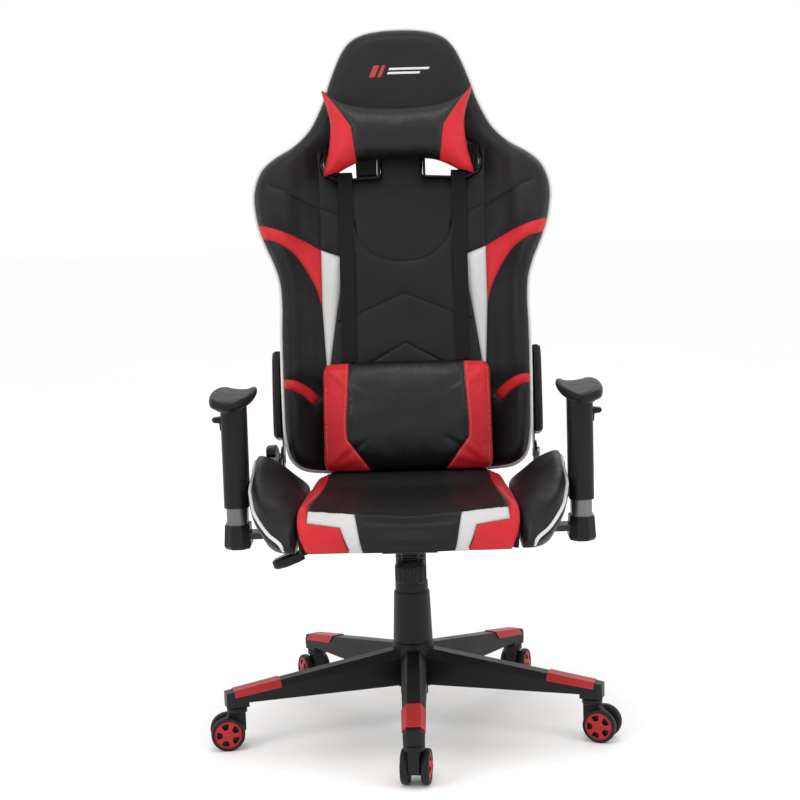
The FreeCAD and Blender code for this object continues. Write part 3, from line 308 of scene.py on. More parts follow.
def plywood():
    g = G("plywood")
    ring = g.wave(16, "X", g.warp(3.0, 0.05), 3.0)
    fibre = g.noise(40, 4, 0.6, g.stretch((12, 1, 12)))
    ply = g.wave(240, "Z")
    c = g.mix(g.ramp(ring, 0.2, 0.8), (0.46, 0.30, 0.17), (0.60, 0.43, 0.27))
    c = g.mix(g.ramp(fibre, 0.4, 0.7, 0, 0.35), c, (0.30, 0.18, 0.10))
    c = g.mix(g.ramp(ply, 0.4, 0.6, 0, 0.25), c, (0.32, 0.2, 0.12))
    return g.out(Base_Color=c, Roughness=0.62, Normal=g.bump(fibre, 0.4, 0.0004))


BLACK = (0.0082, 0.0080, 0.0086)
RED = (0.53, 0.016, 0.024)
WHITE = (0.56, 0.555, 0.545)
M = {
    "black": leather("leather_black", BLACK, 0.40),
    "satin": leather("leather_black_satin", (0.0042, 0.0041, 0.0044), 0.27, spec=0.34),
    "panel": leather("leather_black_panel", (0.0105, 0.0103, 0.0108), 0.44, cell=820),
    "red": leather("leather_red", RED, 0.40, vary=0.07, crease=0.9),
    "white": leather("leather_white", WHITE, 0.42, vary=0.04, crease=0.93),
    "piping": leather("piping_white", (0.62, 0.615, 0.60), 0.38, cell=1500, depth=0.00008, vary=0.04, crease=0.95),
    "piping_black": leather("piping_black", (0.010, 0.010, 0.0105), 0.36, cell=1500, depth=0.00008),
    "nylon": plastic("nylon_black", (0.0058, 0.0058, 0.0060), 0.44, 1100, 0.00014, wear=0.5),
    "plastic": plastic("plastic_black", (0.0060, 0.0060, 0.0063), 0.42, 1500, 0.00010, wear=0.35),
    "plastic_gloss": plastic("plastic_black_gloss", (0.0066, 0.0066, 0.0069), 0.33, 1800, 0.00004),
    "red_plastic": plastic("plastic_red", (0.37, 0.020, 0.022), 0.38, 900, 0.00010, wear=0.3, edge_col=(0.55, 0.08, 0.07)),
    "pu": leather("pu_soft_black", (0.0074, 0.0074, 0.0077), 0.50, cell=1500, depth=0.00010),
    "tyre": plastic("tyre_black", (0.0075, 0.0075, 0.0078), 0.50, 1400, 0.00008),
    "steel_black": steel("steel_black", (0.012, 0.012, 0.0125), 0.42, 0.2, paint=True),
    "steel_grey": steel("steel_grey", (0.17, 0.17, 0.175), 0.36, 0.85),
    "steel_bright": steel("steel_bright", (0.58, 0.58, 0.59), 0.22),
    "web": webbing("webbing_black", (0.0085, 0.0085, 0.009)),
    "thread_black": thread("thread_black", (0.022, 0.022, 0.023)),
    "thread_pale": thread("thread_pale", (0.50, 0.40, 0.38)),
    "thread_red": thread("thread_red", (0.45, 0.02, 0.025)),
    "thread_white": thread("thread_white", (0.75, 0.74, 0.72)),
    "wood": plywood(),
}


def floor():
    g = G("floor_pale")
    c = g.mix(g.ramp(g.noise(0.8, 3), 0.3, 0.7), (0.982, 0.982, 0.982), (0.99, 0.99, 0.99))
    mat = g.out(Base_Color=c, Roughness=0.9, Specular_IOR_Level=0.0)
    me = bpy.data.meshes.new("floor")
    n, R = 48, 26.0
    vs = [(R * math.cos(2 * math.pi * i / n), R * math.sin(2 * math.pi * i / n), 0) for i in range(n)]
    me.from_pydata(vs, [], [list(range(n))])
    me.materials.append(mat)
    ob = bpy.data.objects.new("floor", me)
    scene.collection.objects.link(ob)


floor()


# ------------------------------------------------------------------ polylines
def resample(P, step, closed=False):
    P = np.asarray(P, float)
    if closed:
        P = np.vstack([P, P[:1]])
    L = np.r_[0, np.cumsum(np.linalg.norm(np.diff(P, axis=0), axis=1))]
    n = max(2, int(round(L[-1] / step)))
    s = np.linspace(0, L[-1], n + 1)
    Q = np.stack([np.interp(s, L, P[:, k]) for k in range(P.shape[1])], 1)
    return Q[:-1] if closed else Q


def spline(P, step=4.0, closed=False, sub=10):
    """Catmull-Rom through P, evened out to the step"""
    P = np.asarray(P, float)
    n = len(P)
    if n < 3:
        return resample(P, step, closed)
    if closed:
        idx = [(i - 1) % n for i in range(n)], list(range(n)), [(i + 1) % n for i in range(n)], [(i + 2) % n for i in range(n)]
    else:
        idx = [max(i - 1, 0) for i in range(n - 1)], list(range(n - 1)), list(range(1, n)), [min(i + 2, n - 1) for i in range(n - 1)]
    out = []
    for a, b, c, d in zip(*idx):
        p0, p1, p2, p3 = P[a], P[b], P[c], P[d]
        if not closed and a == b:
            p0 = 2 * p1 - p2
        if not closed and c == d:
            p3 = 2 * p2 - p1
        la, lb, lc = [max(np.linalg.norm(q) ** 0.5, 1e-6) for q in (p1 - p0, p2 - p1, p3 - p2)]
        m1 = (p2 - p1) + lb * ((p1 - p0) / la - (p2 - p0) / (la + lb))
        m2 = (p2 - p1) + lb * ((p3 - p2) / lc - (p3 - p1) / (lb + lc))
        for k in range(sub):
            t = k / sub
            out.append((2 * t**3 - 3 * t**2 + 1) * p1 + (t**3 - 2 * t**2 + t) * m1 + (-2 * t**3 + 3 * t**2) * p2 + (t**3 - t**2) * m2)
    if not closed:
        out.append(P[-1])
    return resample(out, step, closed)


def mirror(P):
    return np.asarray(P, float) * np.array([-1.0, 1.0])


def both(P):
    return [np.asarray(P, float), mirror(P)]


def dist(Q, lines):
    """distance from each point of Q to the nearest of the lines, and how far along it that is. lines: [(points, closed)]"""
    best = np.full(len(Q), 1e9)
    along = np.zeros(len(Q))
    base = 0.0
    for P, closed in lines:
        A = np.asarray(P, float)
        B = np.roll(A, -1, 0) if closed else A[1:]
        A = A if closed else A[:-1]
        D = B - A
        L = np.linalg.norm(D, axis=1)
        S = np.r_[0, np.cumsum(L)][:-1]
        for i0 in range(0, len(Q), 4000):
            q = Q[i0 : i0 + 4000]
            t = ((q[:, None, :] - A[None]) * D[None]).sum(2) / np.maximum(L**2, 1e-12)[None]
            t = np.clip(t, 0, 1)
            d = np.linalg.norm(q[:, None, :] - (A[None] + t[..., None] * D[None]), axis=2)
            k = d.argmin(1)
            r = np.arange(len(q))
            dd = d[r, k]
            m = dd < best[i0 : i0 + 4000]
            best[i0 : i0 + 4000][m] = dd[m]
            along[i0 : i0 + 4000][m] = (base + S[k] + t[r, k] * L[k])[m]
        base += S[-1] + L[-1] + 31.7
    return best, along


def inside(Q, poly):
    P = np.asarray(poly, float)
    x, y = Q[:, 0][:, None], Q[:, 1][:, None]
    x0, y0 = P[:, 0][None], P[:, 1][None]
    x1, y1 = np.roll(P[:, 0], -1)[None], np.roll(P[:, 1], -1)[None]
    c = (y0 > y) != (y1 > y)
    with np.errstate(divide="ignore", invalid="ignore"):
        xi = x0 + (y - y0) * (x1 - x0) / (y1 - y0)
    return (np.where(c & (x < xi), 1, 0).sum(1) % 2) == 1


def waves(Q, size, seed, n=18):
    """smooth seeded noise about -1 to 1, with features about size across"""
    r = np.random.default_rng(seed)
    a = r.uniform(0, 2 * np.pi, n)
    k = 2 * np.pi / (size * r.uniform(0.7, 1.6, n))
    ph = r.uniform(0, 2 * np.pi, n)
    Q = np.asarray(Q, float)
    out = np.zeros(len(Q))
    for i in range(n):
        out += np.sin(k[i] * (Q[:, 0] * math.cos(a[i]) + Q[:, 1] * math.sin(a[i])) + ph[i])
    return out / math.sqrt(n)


def waves1(s, size, seed, n=9):
    r = np.random.default_rng(seed)
    k = 2 * np.pi / (size * r.uniform(0.6, 1.7, n))
    ph = r.uniform(0, 2 * np.pi, n)
    return sum(np.sin(k[i] * s + ph[i]) for i in range(n)) / math.sqrt(n)


def smooth_table(xs, ys, sigma, lo, hi):
    X = np.arange(lo - 60, hi + 61, 1.0)
    Y = np.interp(X, xs, ys)
    K = np.exp(-0.5 * (np.arange(-60, 61) / sigma) ** 2)
    K /= K.sum()
    Z = np.convolve(np.pad(Y, 60, mode="edge"), K, mode="valid")
    return lambda q: np.interp(q, X, Z)


# ------------------------------------------------------------------ meshes
class Shape:
    """Collects pieces of mesh in millimetres, with a material number per face and a seam value per point: how strongly
    painted seam shade and dirt darken the leather there.
    """

    def __init__(self):
        self.V, self.F, self.Mi, self.S, self.n = [], [], [], [], 0

    def add(self, V, F, mat=0, seam=None):
        V = np.asarray(V, float)
        b = self.n
        self.F += [tuple(int(i) + b for i in f) for f in F]
        self.Mi += [int(mat)] * len(F) if np.isscalar(mat) else [int(i) for i in mat]
        self.V.append(V)
        self.S.append(np.zeros(len(V)) if seam is None else np.asarray(seam, float))
        self.n += len(V)
        return b

    def obj(self, name, mats, merge=None, recalc=False, smooth=True, sharp=None):
        me = bpy.data.meshes.new(name)
        me.from_pydata((np.vstack(self.V) * 0.001).tolist(), [], self.F)
        me.polygons.foreach_set("material_index", self.Mi)
        # per-point strength of the painted seam shade and dirt, read by the leather materials
        at = me.attributes.new("seam", "FLOAT", "POINT")
        at.data.foreach_set("value", np.concatenate(self.S))
        if merge or recalc:
            bm = bmesh.new()
            bm.from_mesh(me)
            if merge:
                bmesh.ops.remove_doubles(bm, verts=bm.verts, dist=merge * 0.001)
            bmesh.ops.recalc_face_normals(bm, faces=bm.faces)
            bm.to_mesh(me)
            bm.free()
        me.polygons.foreach_set("use_smooth", [smooth] * len(me.polygons))
        if sharp:
            me.set_sharp_from_angle(angle=math.radians(sharp))
        me.update()
        ob = bpy.data.objects.new(name, me)
        for m in mats:
            me.materials.append(M[m])
        scene.collection.objects.link(ob)
        return ob


def grid_faces(nu, nv, cu=False, cv=False):
    f = []
    for i in range(nu if cu else nu - 1):
        for j in range(nv if cv else nv - 1):
            a, b = i, (i + 1) % nu
            c, d = j, (j + 1) % nv
            f.append((a * nv + c, b * nv + c, b * nv + d, a * nv + d))
    return f


def tube(P, r, closed=False, segs=10, up=(0, 0, 1), caps=True, rough=0.0, seed=3):
    """round tube along P (mm). r may be one number or one per point"""
    P = np.asarray(P, float)
    n = len(P)
    T = np.roll(P, -1, 0) - np.roll(P, 1, 0)
    if not closed:
        T[0], T[-1] = P[1] - P[0], P[-1] - P[-2]
    T /= np.linalg.norm(T, axis=1)[:, None]
    N = np.zeros_like(P)
    u = np.array(up, float)
    u -= T[0] * (u @ T[0])
    u /= np.linalg.norm(u)
    for i in range(n):
        u = u - T[i] * (u @ T[i])
        u /= np.linalg.norm(u)
        N[i] = u
    if closed:
        v = N[-1] - T[0] * (N[-1] @ T[0])
        v /= np.linalg.norm(v)
        ang = math.atan2(np.cross(v, N[0]) @ T[0], v @ N[0])
        for i in range(n):
            a = ang * i / n
            B = np.cross(T[i], N[i])
            N[i] = N[i] * math.cos(a) + B * math.sin(a)
    B = np.cross(T, N)
    R = np.full(n, float(r)) if np.isscalar(r) else np.asarray(r, float)
    if rough:
        R = R * (1 + rough * waves1(np.arange(n) * 5.0, 24.0, seed))
    a = np.linspace(0, 2 * np.pi, segs, endpoint=False)
    V = (P[:, None] + R[:, None, None] * (np.cos(a)[None, :, None] * N[:, None] + np.sin(a)[None, :, None] * B[:, None])).reshape(-1, 3)
    F = grid_faces(n, segs, closed, True)
    F = [f[::-1] for f in F]
    if not closed and caps:
        F.append(tuple(range(segs)))
        F.append(tuple((n - 1) * segs + k for k in range(segs))[::-1])
    return V, F


def triangulate(outline, holes, seams, step, rows=(1.5, 3.8), edge_rows=(0.8, 2.4, 4.8, 8.0, 12.0), pitch=4.0):
    """Even triangles over the outline less the holes, with edges exactly along the seams and finer rows beside them."""
    pts, edges = [], []

    def line(Lp, closed):
        b = len(pts)
        pts.extend(map(tuple, Lp))
        n = len(Lp)
        edges.extend((b + i, b + (i + 1) % n) for i in range(n if closed else n - 1))

    line(outline, True)
    n_out = len(outline)
    for h in holes:
        line(h, True)
    for s in seams:
        line(s, False)
    fixed = [(outline, True)] + [(h, True) for h in holes] + [(s, False) for s in seams]
    cand = []

    def offs(P, closed, r):
        P = np.asarray(P, float)
        T = np.roll(P, -1, 0) - np.roll(P, 1, 0)
        if not closed:
            T[0], T[-1] = P[1] - P[0], P[-1] - P[-2]
        T /= np.maximum(np.linalg.norm(T, axis=1)[:, None], 1e-9)
        return P + r * np.stack([-T[:, 1], T[:, 0]], 1)

    for P, closed, rr in [(outline, True, edge_rows)] + [(h, True, edge_rows[:2]) for h in holes] + [(s, False, rows) for s in seams]:
        for r in rr:
            for sg in (1, -1):
                cand.append((offs(P, closed, sg * r), r))
    keep = []
    for Q, r in cand:
        d, _ = dist(Q, fixed)
        keep.append(Q[d > 0.86 * r])
    lo, hi = np.min(outline, 0), np.max(outline, 0)
    ys = np.arange(lo[1], hi[1], step * 0.866)
    hexa = np.array([(x + (0.5 * step if j % 2 else 0), y) for j, y in enumerate(ys) for x in np.arange(lo[0] - step, hi[0] + step, step)])
    d_s, _ = dist(hexa, [(h, True) for h in holes] + [(s, False) for s in seams]) if (holes or seams) else (np.full(len(hexa), 1e9), 0)
    d_o, _ = dist(hexa, [(outline, True)])
    keep.append(hexa[(d_s > rows[-1] + 0.5 * step) & (d_o > edge_rows[-1] + 0.5 * step)])
    Q = np.vstack(keep)
    ok = inside(Q, outline)
    for h in holes:
        ok &= ~inside(Q, h)
    Q = Q[ok]
    Q = np.round(Q, 3)
    Q = Q[np.sort(np.unique((Q / 0.9).round().astype(int), axis=0, return_index=True)[1])]
    pts.extend(map(tuple, Q))
    r = delaunay_2d_cdt([Vector(p) for p in pts], edges, [], 0, 0.01, True)
    P = np.array([tuple(v) for v in r[0]])
    T = [tuple(f) for f in r[2]]
    C = np.array([P[list(t)].mean(0) for t in T])
    ok = inside(C, outline)
    for h in holes:
        ok &= ~inside(C, h)
    T = np.array([t for t, k in zip(T, ok) if k])
    used = np.unique(T)
    new = np.full(len(P), -1)
    new[used] = np.arange(len(used))
    return P[used], new[T], C[ok]


def stitches(lines3, normals3, pitch=5.0, length=3.4, width=0.85, height=0.55):
    """Small rounded stitches lying along lines on a surface. Returns V, F."""
    Vs, Fs, b = [], [], 0
    k = 6
    prof = [(-0.5, 0.0), (-0.42, 0.7), (-0.15, 1.0), (0.15, 1.0), (0.42, 0.7), (0.5, 0.0)]
    for P, N in zip(lines3, normals3):
        L = np.r_[0, np.cumsum(np.linalg.norm(np.diff(P, axis=0), axis=1))]
        for s in np.arange(pitch * 0.5, L[-1], pitch):
            p = np.array([np.interp(s, L, P[:, j]) for j in range(3)])
            q = np.array([np.interp(min(s + 1.0, L[-1]), L, P[:, j]) for j in range(3)])
            o = np.array([np.interp(max(s - 1.0, 0), L, P[:, j]) for j in range(3)])
            t = q - o
            t /= max(np.linalg.norm(t), 1e-9)
            n = np.array([np.interp(s, L, N[:, j]) for j in range(3)])
            n -= t * (n @ t)
            n /= max(np.linalg.norm(n), 1e-9)
            m = np.cross(t, n)
            ring = []
            for u, w in prof:
                for a in range(k):
                    th = 2 * math.pi * a / k
                    rr = max(w, 0.12)
                    ring.append(p + t * u * length + m * math.cos(th) * width * 0.5 * rr + n * (math.sin(th) * height * rr - (1 - rr) * height * 0.6))
            Vs.append(np.array(ring))
            nf = grid_faces(len(prof), k, False, True)
            nf.append(tuple(range(k))[::-1])
            nf.append(tuple((len(prof) - 1) * k + i for i in range(k)))
            Fs += [tuple(i + b for i in f) for f in nf]
            b += len(ring)
    return (np.vstack(Vs), Fs) if Vs else (np.zeros((0, 3)), [])


def inflate(ob, pinned, pressure=4.0, frames=20, cap=24.0, tension=15.0, bend=0.4, mass=0.3):
    """Blender's cloth, blown up from inside with no gravity, applied with a cap on how far a point moves (mm)."""
    me = ob.data
    n = len(me.vertices)
    rest = np.empty(n * 3)
    me.vertices.foreach_get("co", rest)
    vg = ob.vertex_groups.new(name="pin")
    for w in sorted(set(np.round(pinned, 2))):
        if w > 0:
            vg.add([int(i) for i in np.nonzero(np.round(pinned, 2) == w)[0]], float(w), "REPLACE")
    md = ob.modifiers.new("cloth", "CLOTH")
    s = md.settings
    s.quality = 6
    s.mass = mass
    s.tension_stiffness = s.compression_stiffness = tension
    s.shear_stiffness = tension * 0.35
    s.bending_stiffness = bend
    s.tension_damping = s.compression_damping = s.shear_damping = 8
    s.air_damping = 2
    s.use_pressure = True
    s.uniform_pressure_force = pressure
    s.vertex_group_mass = "pin"
    s.effector_weights.gravity = 0
    md.collision_settings.use_collision = False
    md.point_cache.frame_start, md.point_cache.frame_end = 1, frames
    scene.frame_start, scene.frame_end = 1, frames
    for f in range(1, frames + 1):
        scene.frame_set(f)
    ev = ob.evaluated_get(bpy.context.evaluated_depsgraph_get())
    now = np.empty(n * 3)
    ev.data.vertices.foreach_get("co", now)
    ob.modifiers.remove(md)
    ob.vertex_groups.clear()
    scene.frame_set(1)
    d = (now - rest).reshape(-1, 3)
    L = np.linalg.norm(d, axis=1)
    k = np.minimum(1, cap * 0.001 / np.maximum(L, 1e-9))
    me.vertices.foreach_set("co", (rest.reshape(-1, 3) + d * k[:, None]).ravel())
    me.update()


# ------------------------------------------------------------------ backrest
C10, S10 = math.cos(math.radians(10)), math.sin(math.radians(10))


def BK(x, w, v):
    """backrest coordinates (mm): x across, w back, v up the leaning face"""
    x, w, v = np.broadcast_arrays(np.asarray(x, float), np.asarray(w, float), np.asarray(v, float))
    return np.stack([x, 186 + w * C10 + v * S10, 443 - w * S10 + v * C10], -1)


BKN = np.array([0, -C10, S10])  # straight out of the front of the backrest

OUT_R = [(0, -4), (110, -4), (160, -3), (200, 3), (222, 22), (232, 62), (235, 130), (236, 200), (236, 262), (235, 318), (238, 358), (249, 394), (261, 421), (275, 459), (282.5, 497), (284, 523), (280, 548), (267, 577), (242, 600), (211, 619), (189, 640), (174, 660), (160, 688), (149, 714), (141, 739), (132, 764), (122, 789), (111, 810), (95, 829), (73, 841), (40, 848), (0, 850)]
OUT = np.array(OUT_R + [(-x, v) for x, v in OUT_R[-2:0:-1]], float)
_o = spline(OUT, 3.0, True)


def shrink(P, r):
    """closed outline moved inward by r"""
    T = np.roll(P, -1, 0) - np.roll(P, 1, 0)
    T /= np.linalg.norm(T, axis=1)[:, None]
    return P + r * np.stack([-T[:, 1], T[:, 0]], 1)


EDGE = resample(shrink(_o, 4.6), 4.6, True)  # edge of the front and rear covers
PIPE = resample(shrink(_o, 1.0), 5.0, True)

front_x = smooth_table([0, 120, 160, 195, 222, 240, 262, 280, 300], [30, 30, 36, 56, 84, 97, 95, 82, 62], 8, 0, 320)
front_v = smooth_table([-20, 10, 40, 130, 330, 460, 600, 700, 880], [50, 62, 76, 97, 98, 88, 66, 45, 35], 16, -40, 900)
rear_v = smooth_table([-20, 40, 160, 600, 770, 890], [10, 28, 33, 33, 26, 14], 14, -40, 900)
round_v = smooth_table([-20, 40, 130, 480, 600, 700, 880], [14, 22, 30, 30, 24, 20, 18], 16, -40, 900)


def depth(x, v):
    a, b = front_x(np.abs(x)), front_v(v)
    return -5.0 * np.log(np.exp(-a / 5.0) + np.exp(-b / 5.0))


SLOT = [(46, 560), (82, 557.5), (118, 556), (143, 566), (150, 584), (138, 612), (112, 628), (86, 630.5), (60, 632), (46, 622), (45, 591)]


def grow(P, r):
    P = np.asarray(P, float)
    c = P.mean(0)
    d = P - c
    return c + d * (1 + r / np.linalg.norm(d, axis=1)[:, None])


HOLE = spline(grow(SLOT, 4.0), 3.2, True)
HOLES = both(HOLE)
HOLES[1] = HOLES[1][::-1]

RED_TOP = [(300, 477), (274, 468), (246, 459), (213, 448), (183, 435), (157, 421)]
RED_LOW = [(300, 453), (267, 441), (235, 429), (208, 412), (187, 384), (168, 347), (157, 312)]
W_IN = [(112, 405), (116, 372), (128, 309), (138, 245), (145, 190), (148, 140)]
W_OUT = [(157, 421), (157, 312), (154, 250), (151, 190), (148, 140)]
W_TOP = [(157, 421), (112, 405)]
LOW_TOP = [(300, 175), (232, 174), (210, 172), (191, 163), (175, 150), (166, 138)]
LOW_LOW = [(300, 158), (232, 157), (213, 152), (194, 141), (178, 127), (166, 138)]
TAIL = [(148, 140), (146, 90), (150, 40), (160, 2)]
V_SEAM = [(160, 602), (158, 551), (158, 515), (157, 474), (157, 421)]
SHOULDER = [(244, 538), (218, 528), (190, 515), (157, 500), (118, 487)]
U_ARC = [(-94, 470), (-88, 446), (-73, 424), (-46, 404), (0, 396), (46, 404), (73, 424), (88, 446), (94, 470)]
CH1 = [[(-128, 281), (-84, 299), (0, 335)], [(0, 335), (84, 299), (128, 281)]]
CH2 = [[(-70, 201), (0, 241)], [(0, 241), (70, 201)]]


def clip(Lp, poly, margin=0.0):
    """the part of a polyline from its first to its last point inside the outline"""
    P = np.asarray(Lp)
    ok = inside(P, poly)
    if ok.all():
        return P
    k = np.nonzero(ok)[0]
    P2 = P[k[0] : k[-1] + 1]
    return P2


def front_seams():
    hard, soft = [], []
    for side in (1, -1):
        f = (lambda P: np.asarray(P, float)) if side > 0 else mirror
        for P, sm in ((RED_TOP, 1), (RED_LOW, 1), (W_IN, 1), (W_OUT, 0), (W_TOP, 0), (LOW_TOP, 1), (LOW_LOW, 1), (TAIL, 1), (V_SEAM, 1)):
            Q = spline(P, 4.2) if sm else resample(P, 4.2)
            Q = clip(Q, EDGE)
            d, _ = dist(Q, [(EDGE, True)])
            Q = Q[d > 1.2] if P not in (TAIL, V_SEAM) else Q[d > 1.2]
            for h in HOLES:
                dh, _ = dist(Q, [(h, True)])
                Q = Q[(dh > 1.0) & ~inside(Q, h)]
            hard.append(f(Q))
        soft.append(f(spline(SHOULDER, 4.2)))
    soft.append(spline(U_ARC, 4.2))
    for c in CH1 + CH2:
        soft.append(resample(c, 4.2))
    return hard, soft


FACE = {}


def on_face(Q, lift=0.0):
    """points of the front cover's surface under Q, and its outward direction there"""
    P, w = FACE["P"], FACE["w"]
    out, nor = [], []
    for q in Q:
        k = np.argsort(((P - q) ** 2).sum(1))[:7]
        A = np.c_[np.ones(7), P[k] - q]
        c, *_ = np.linalg.lstsq(A, w[k], rcond=None)
        out.append(c[0])
        n = np.array([c[1], -1.0, c[2]])
        nor.append(n / np.linalg.norm(n))
    out, nor = np.array(out), np.array(nor)
    N3 = np.stack([nor[:, 0], nor[:, 1] * C10 + nor[:, 2] * S10, -nor[:, 1] * S10 + nor[:, 2] * C10], 1)
    return BK(Q[:, 0], out, Q[:, 1]) + N3 * lift, N3


def back_cover():
    hard, soft = front_seams()
    P, T, C = triangulate(EDGE, HOLES, hard + soft, 5.0)
    e, _ = dist(P, [(EDGE, True)])
    dh, sh = dist(P, [(h, False) for h in hard] + [(h, True) for h in HOLES])
    ds, ss = dist(P, [(s, False) for s in soft])
    D = depth(P[:, 0], P[:, 1]) - 4.0
    R = round_v(P[:, 1])
    q = np.clip(e / R, 0, 1)
    drop = R * (1 - np.sqrt(np.maximum(1 - (1 - q) ** 2, 0)))
    dall = np.minimum(e, dh)
    puff = 3.6 * (1 - np.exp(-((dall / 16) ** 2))) + 1.4 * (1 - np.exp(-((np.minimum(dall, ds) / 14) ** 2)))
    g1 = 2.8 * np.exp(-((dh / 2.2) ** 2))
    g2 = 1.9 * np.exp(-((ds / 1.9) ** 2))
    puck = 0.26 * waves1(sh, 9, 11) * np.exp(-((dh / 8) ** 2)) * (1 - np.exp(-((dh / 2.5) ** 2)))
    puck += 0.16 * waves1(ss, 8, 12) * np.exp(-((ds / 7) ** 2)) * (1 - np.exp(-((ds / 2.5) ** 2)))
    _, se = dist(P, [(EDGE, True)])
    puck += 0.22 * waves1(se, 13, 13) * np.exp(-(((e - 5) / 6) ** 2))
    low = 0.6 * waves(P, 120, 21) + 0.22 * waves(P, 46, 22)
    w = -(D - drop + puff - g1 - g2 + puck + low * (1 - np.exp(-((e / 14) ** 2))))
    # strength of the painted seam shade and dirt: full on the hard seams, 0.95 on the soft ones
    seam = np.maximum(np.exp(-((dh / 1.5) ** 2)), 0.95 * np.exp(-((ds / 1.4) ** 2)))
    FACE["P"], FACE["w"] = P, w
    mats = np.zeros(len(T), int)
    for side in (1, -1):
        f = (lambda Q: np.asarray(Q, float)) if side > 0 else mirror
        wi = spline(W_IN, 4.2)
        wo = resample(W_OUT, 4.2)
        mats[inside(C, f(np.vstack([resample(W_TOP, 4.2), wi, wo[::-1]])))] = 2
        mats[inside(C, f(np.vstack([spline(RED_TOP, 4.2), resample([(157, 421), (157, 312)], 4.2), spline(RED_LOW, 4.2)[::-1]])))] = 1
        mats[inside(C, f(np.vstack([spline(LOW_TOP, 4.2), spline(LOW_LOW, 4.2)[::-1]])))] = 1
    S = Shape()
    S.add(BK(P[:, 0], w, P[:, 1]), T, mats, seam)
    # side band between the front edge and the rear edge
    eD = depth(EDGE[:, 0], EDGE[:, 1]) - 4.0 - round_v(EDGE[:, 1])
    rw = rear_v(EDGE[:, 1]) - 7.0
    n = len(EDGE)
    Tn = np.roll(EDGE, -1, 0) - np.roll(EDGE, 1, 0)
    Tn /= np.linalg.norm(Tn, axis=1)[:, None]
    outw = np.stack([Tn[:, 1], -Tn[:, 0]], 1)
    U = np.array([0, 0.03, 0.08, 0.17, 0.3, 0.42, 0.5, 0.58, 0.7, 0.83, 0.92, 0.97, 1.0])
    s = np.arange(n) * 4.6
    # the front edge's w comes from the depth table less the edge rounding
    low_e = np.zeros(n)
    wf = -(eD + low_e)
    bulge = np.interp(EDGE[:, 1], [-10, 30, 70, 380, 450, 860], [1.5, 4.0, 6.2, 6.2, 2.0, 1.5])
    rows = []
    for u in U:
        b = bulge * (1 - (2 * u - 1) ** 4)
        b = b + 0.4 * waves1(s, 30, 31) * math.sin(math.pi * u)
        xy = EDGE + outw * np.asarray(b)[:, None]
        rows.append(BK(xy[:, 0], wf * (1 - u) + rw * u, xy[:, 1]))
    V = np.stack(rows, 0).reshape(-1, 3)
    # the band's front and rear rows get the full painted seam shade and dirt where they meet the piping
    S.add(V, [f[::-1] for f in grid_faces(len(U), n, False, True)], 0, np.repeat([1.0 if u in (0, 1.0) else 0.0 for u in U], n))
    # rear cover
    in1 = [(128, 12), (150, 60), (176, 160), (184, 260), (190, 360), (214, 450), (222, 515), (196, 572), (172, 600), (150, 655), (128, 715), (104, 770), (70, 800), (0, 808), ]
    r1 = spline(in1 + [(-x, v) for x, v in in1[-2::-1]], 5.0)
    r2 = [resample([(-181, 300), (181, 300)], 5.0), resample([(-132, 700), (132, 700)], 5.0)]
    P, T, C = triangulate(EDGE, HOLES, [r1] + r2, 7.5, rows=(1.6, 4.2), edge_rows=(0.9, 2.6, 5.0, 9.0))
    e, _ = dist(P, [(EDGE, True)])
    dh, sh = dist(P, [(r1, False), (r2[0], False), (r2[1], False)] + [(h, True) for h in HOLES])
    q = np.clip(e / 7.0, 0, 1)
    drop = 7.0 * (1 - np.sqrt(np.maximum(1 - (1 - q) ** 2, 0)))
    puff = 4.0 * (1 - np.exp(-((np.minimum(e, dh) / 18) ** 2)))
    w = rear_v(P[:, 1]) - 3.0 - drop + puff - 2.3 * np.exp(-((dh / 2.2) ** 2)) + 0.6 * waves(P, 90, 41)
    w += 0.5 * waves1(sh, 10, 42) * np.exp(-((dh / 8) ** 2))
    # the edge points meet the side band
    on = e < 1e-6
    w[on] = rear_v(P[on, 1]) - 7.0
    # painted seam shade and dirt along the rear seams and round the openings
    S.add(BK(P[:, 0], w, P[:, 1]), [tuple(t)[::-1] for t in T], 3, np.exp(-((dh / 1.3) ** 2)))
    ob = S.obj("backrest_cover", ["black", "red", "white", "panel"], merge=None)
    return ob, wf


def snap(ob, targets, tol):
    """welds points of ob nearer than tol (mm) and recalculates the face normals; targets is not used"""
    me = ob.data
    bm = bmesh.new()
    bm.from_mesh(me)
    bmesh.ops.remove_doubles(bm, verts=bm.verts, dist=tol * 0.001)
    bmesh.ops.recalc_face_normals(bm, faces=bm.faces)
    bm.to_mesh(me)
    bm.free()
    me.update()


def surf_w(x, v):
    """depth of the front cover away from seams"""
    return -(depth(x, v) - 4.0 + 6.0)


def backrest():
    ob, wf = back_cover()
    snap(ob, None, 0.6)
    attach(ob, "back")
    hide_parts("back_shell")
    # white piping along the front edge, black along the rear one
    for name, inset, wfun, r, mat, sl in (
        ("backrest_piping", 2.2, lambda P: -(depth(P[:, 0], P[:, 1]) - 4.0 - round_v(P[:, 1])) - 1.8, 3.2, "piping", "black_leather"),
        ("backrest_rear_piping", 1.6, lambda P: rear_v(P[:, 1]) - 6.0, 2.3, "piping_black", "black_leather"),
    ):
        Q = resample(shrink(_o, inset), 5.0, True)
        V, F = tube(BK(Q[:, 0], wfun(Q), Q[:, 1]), r, True, 10, rough=0.02)
        S = Shape()
        S.add(V, F)
        p = S.obj(name, [mat])
        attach(p, "back")


backrest()


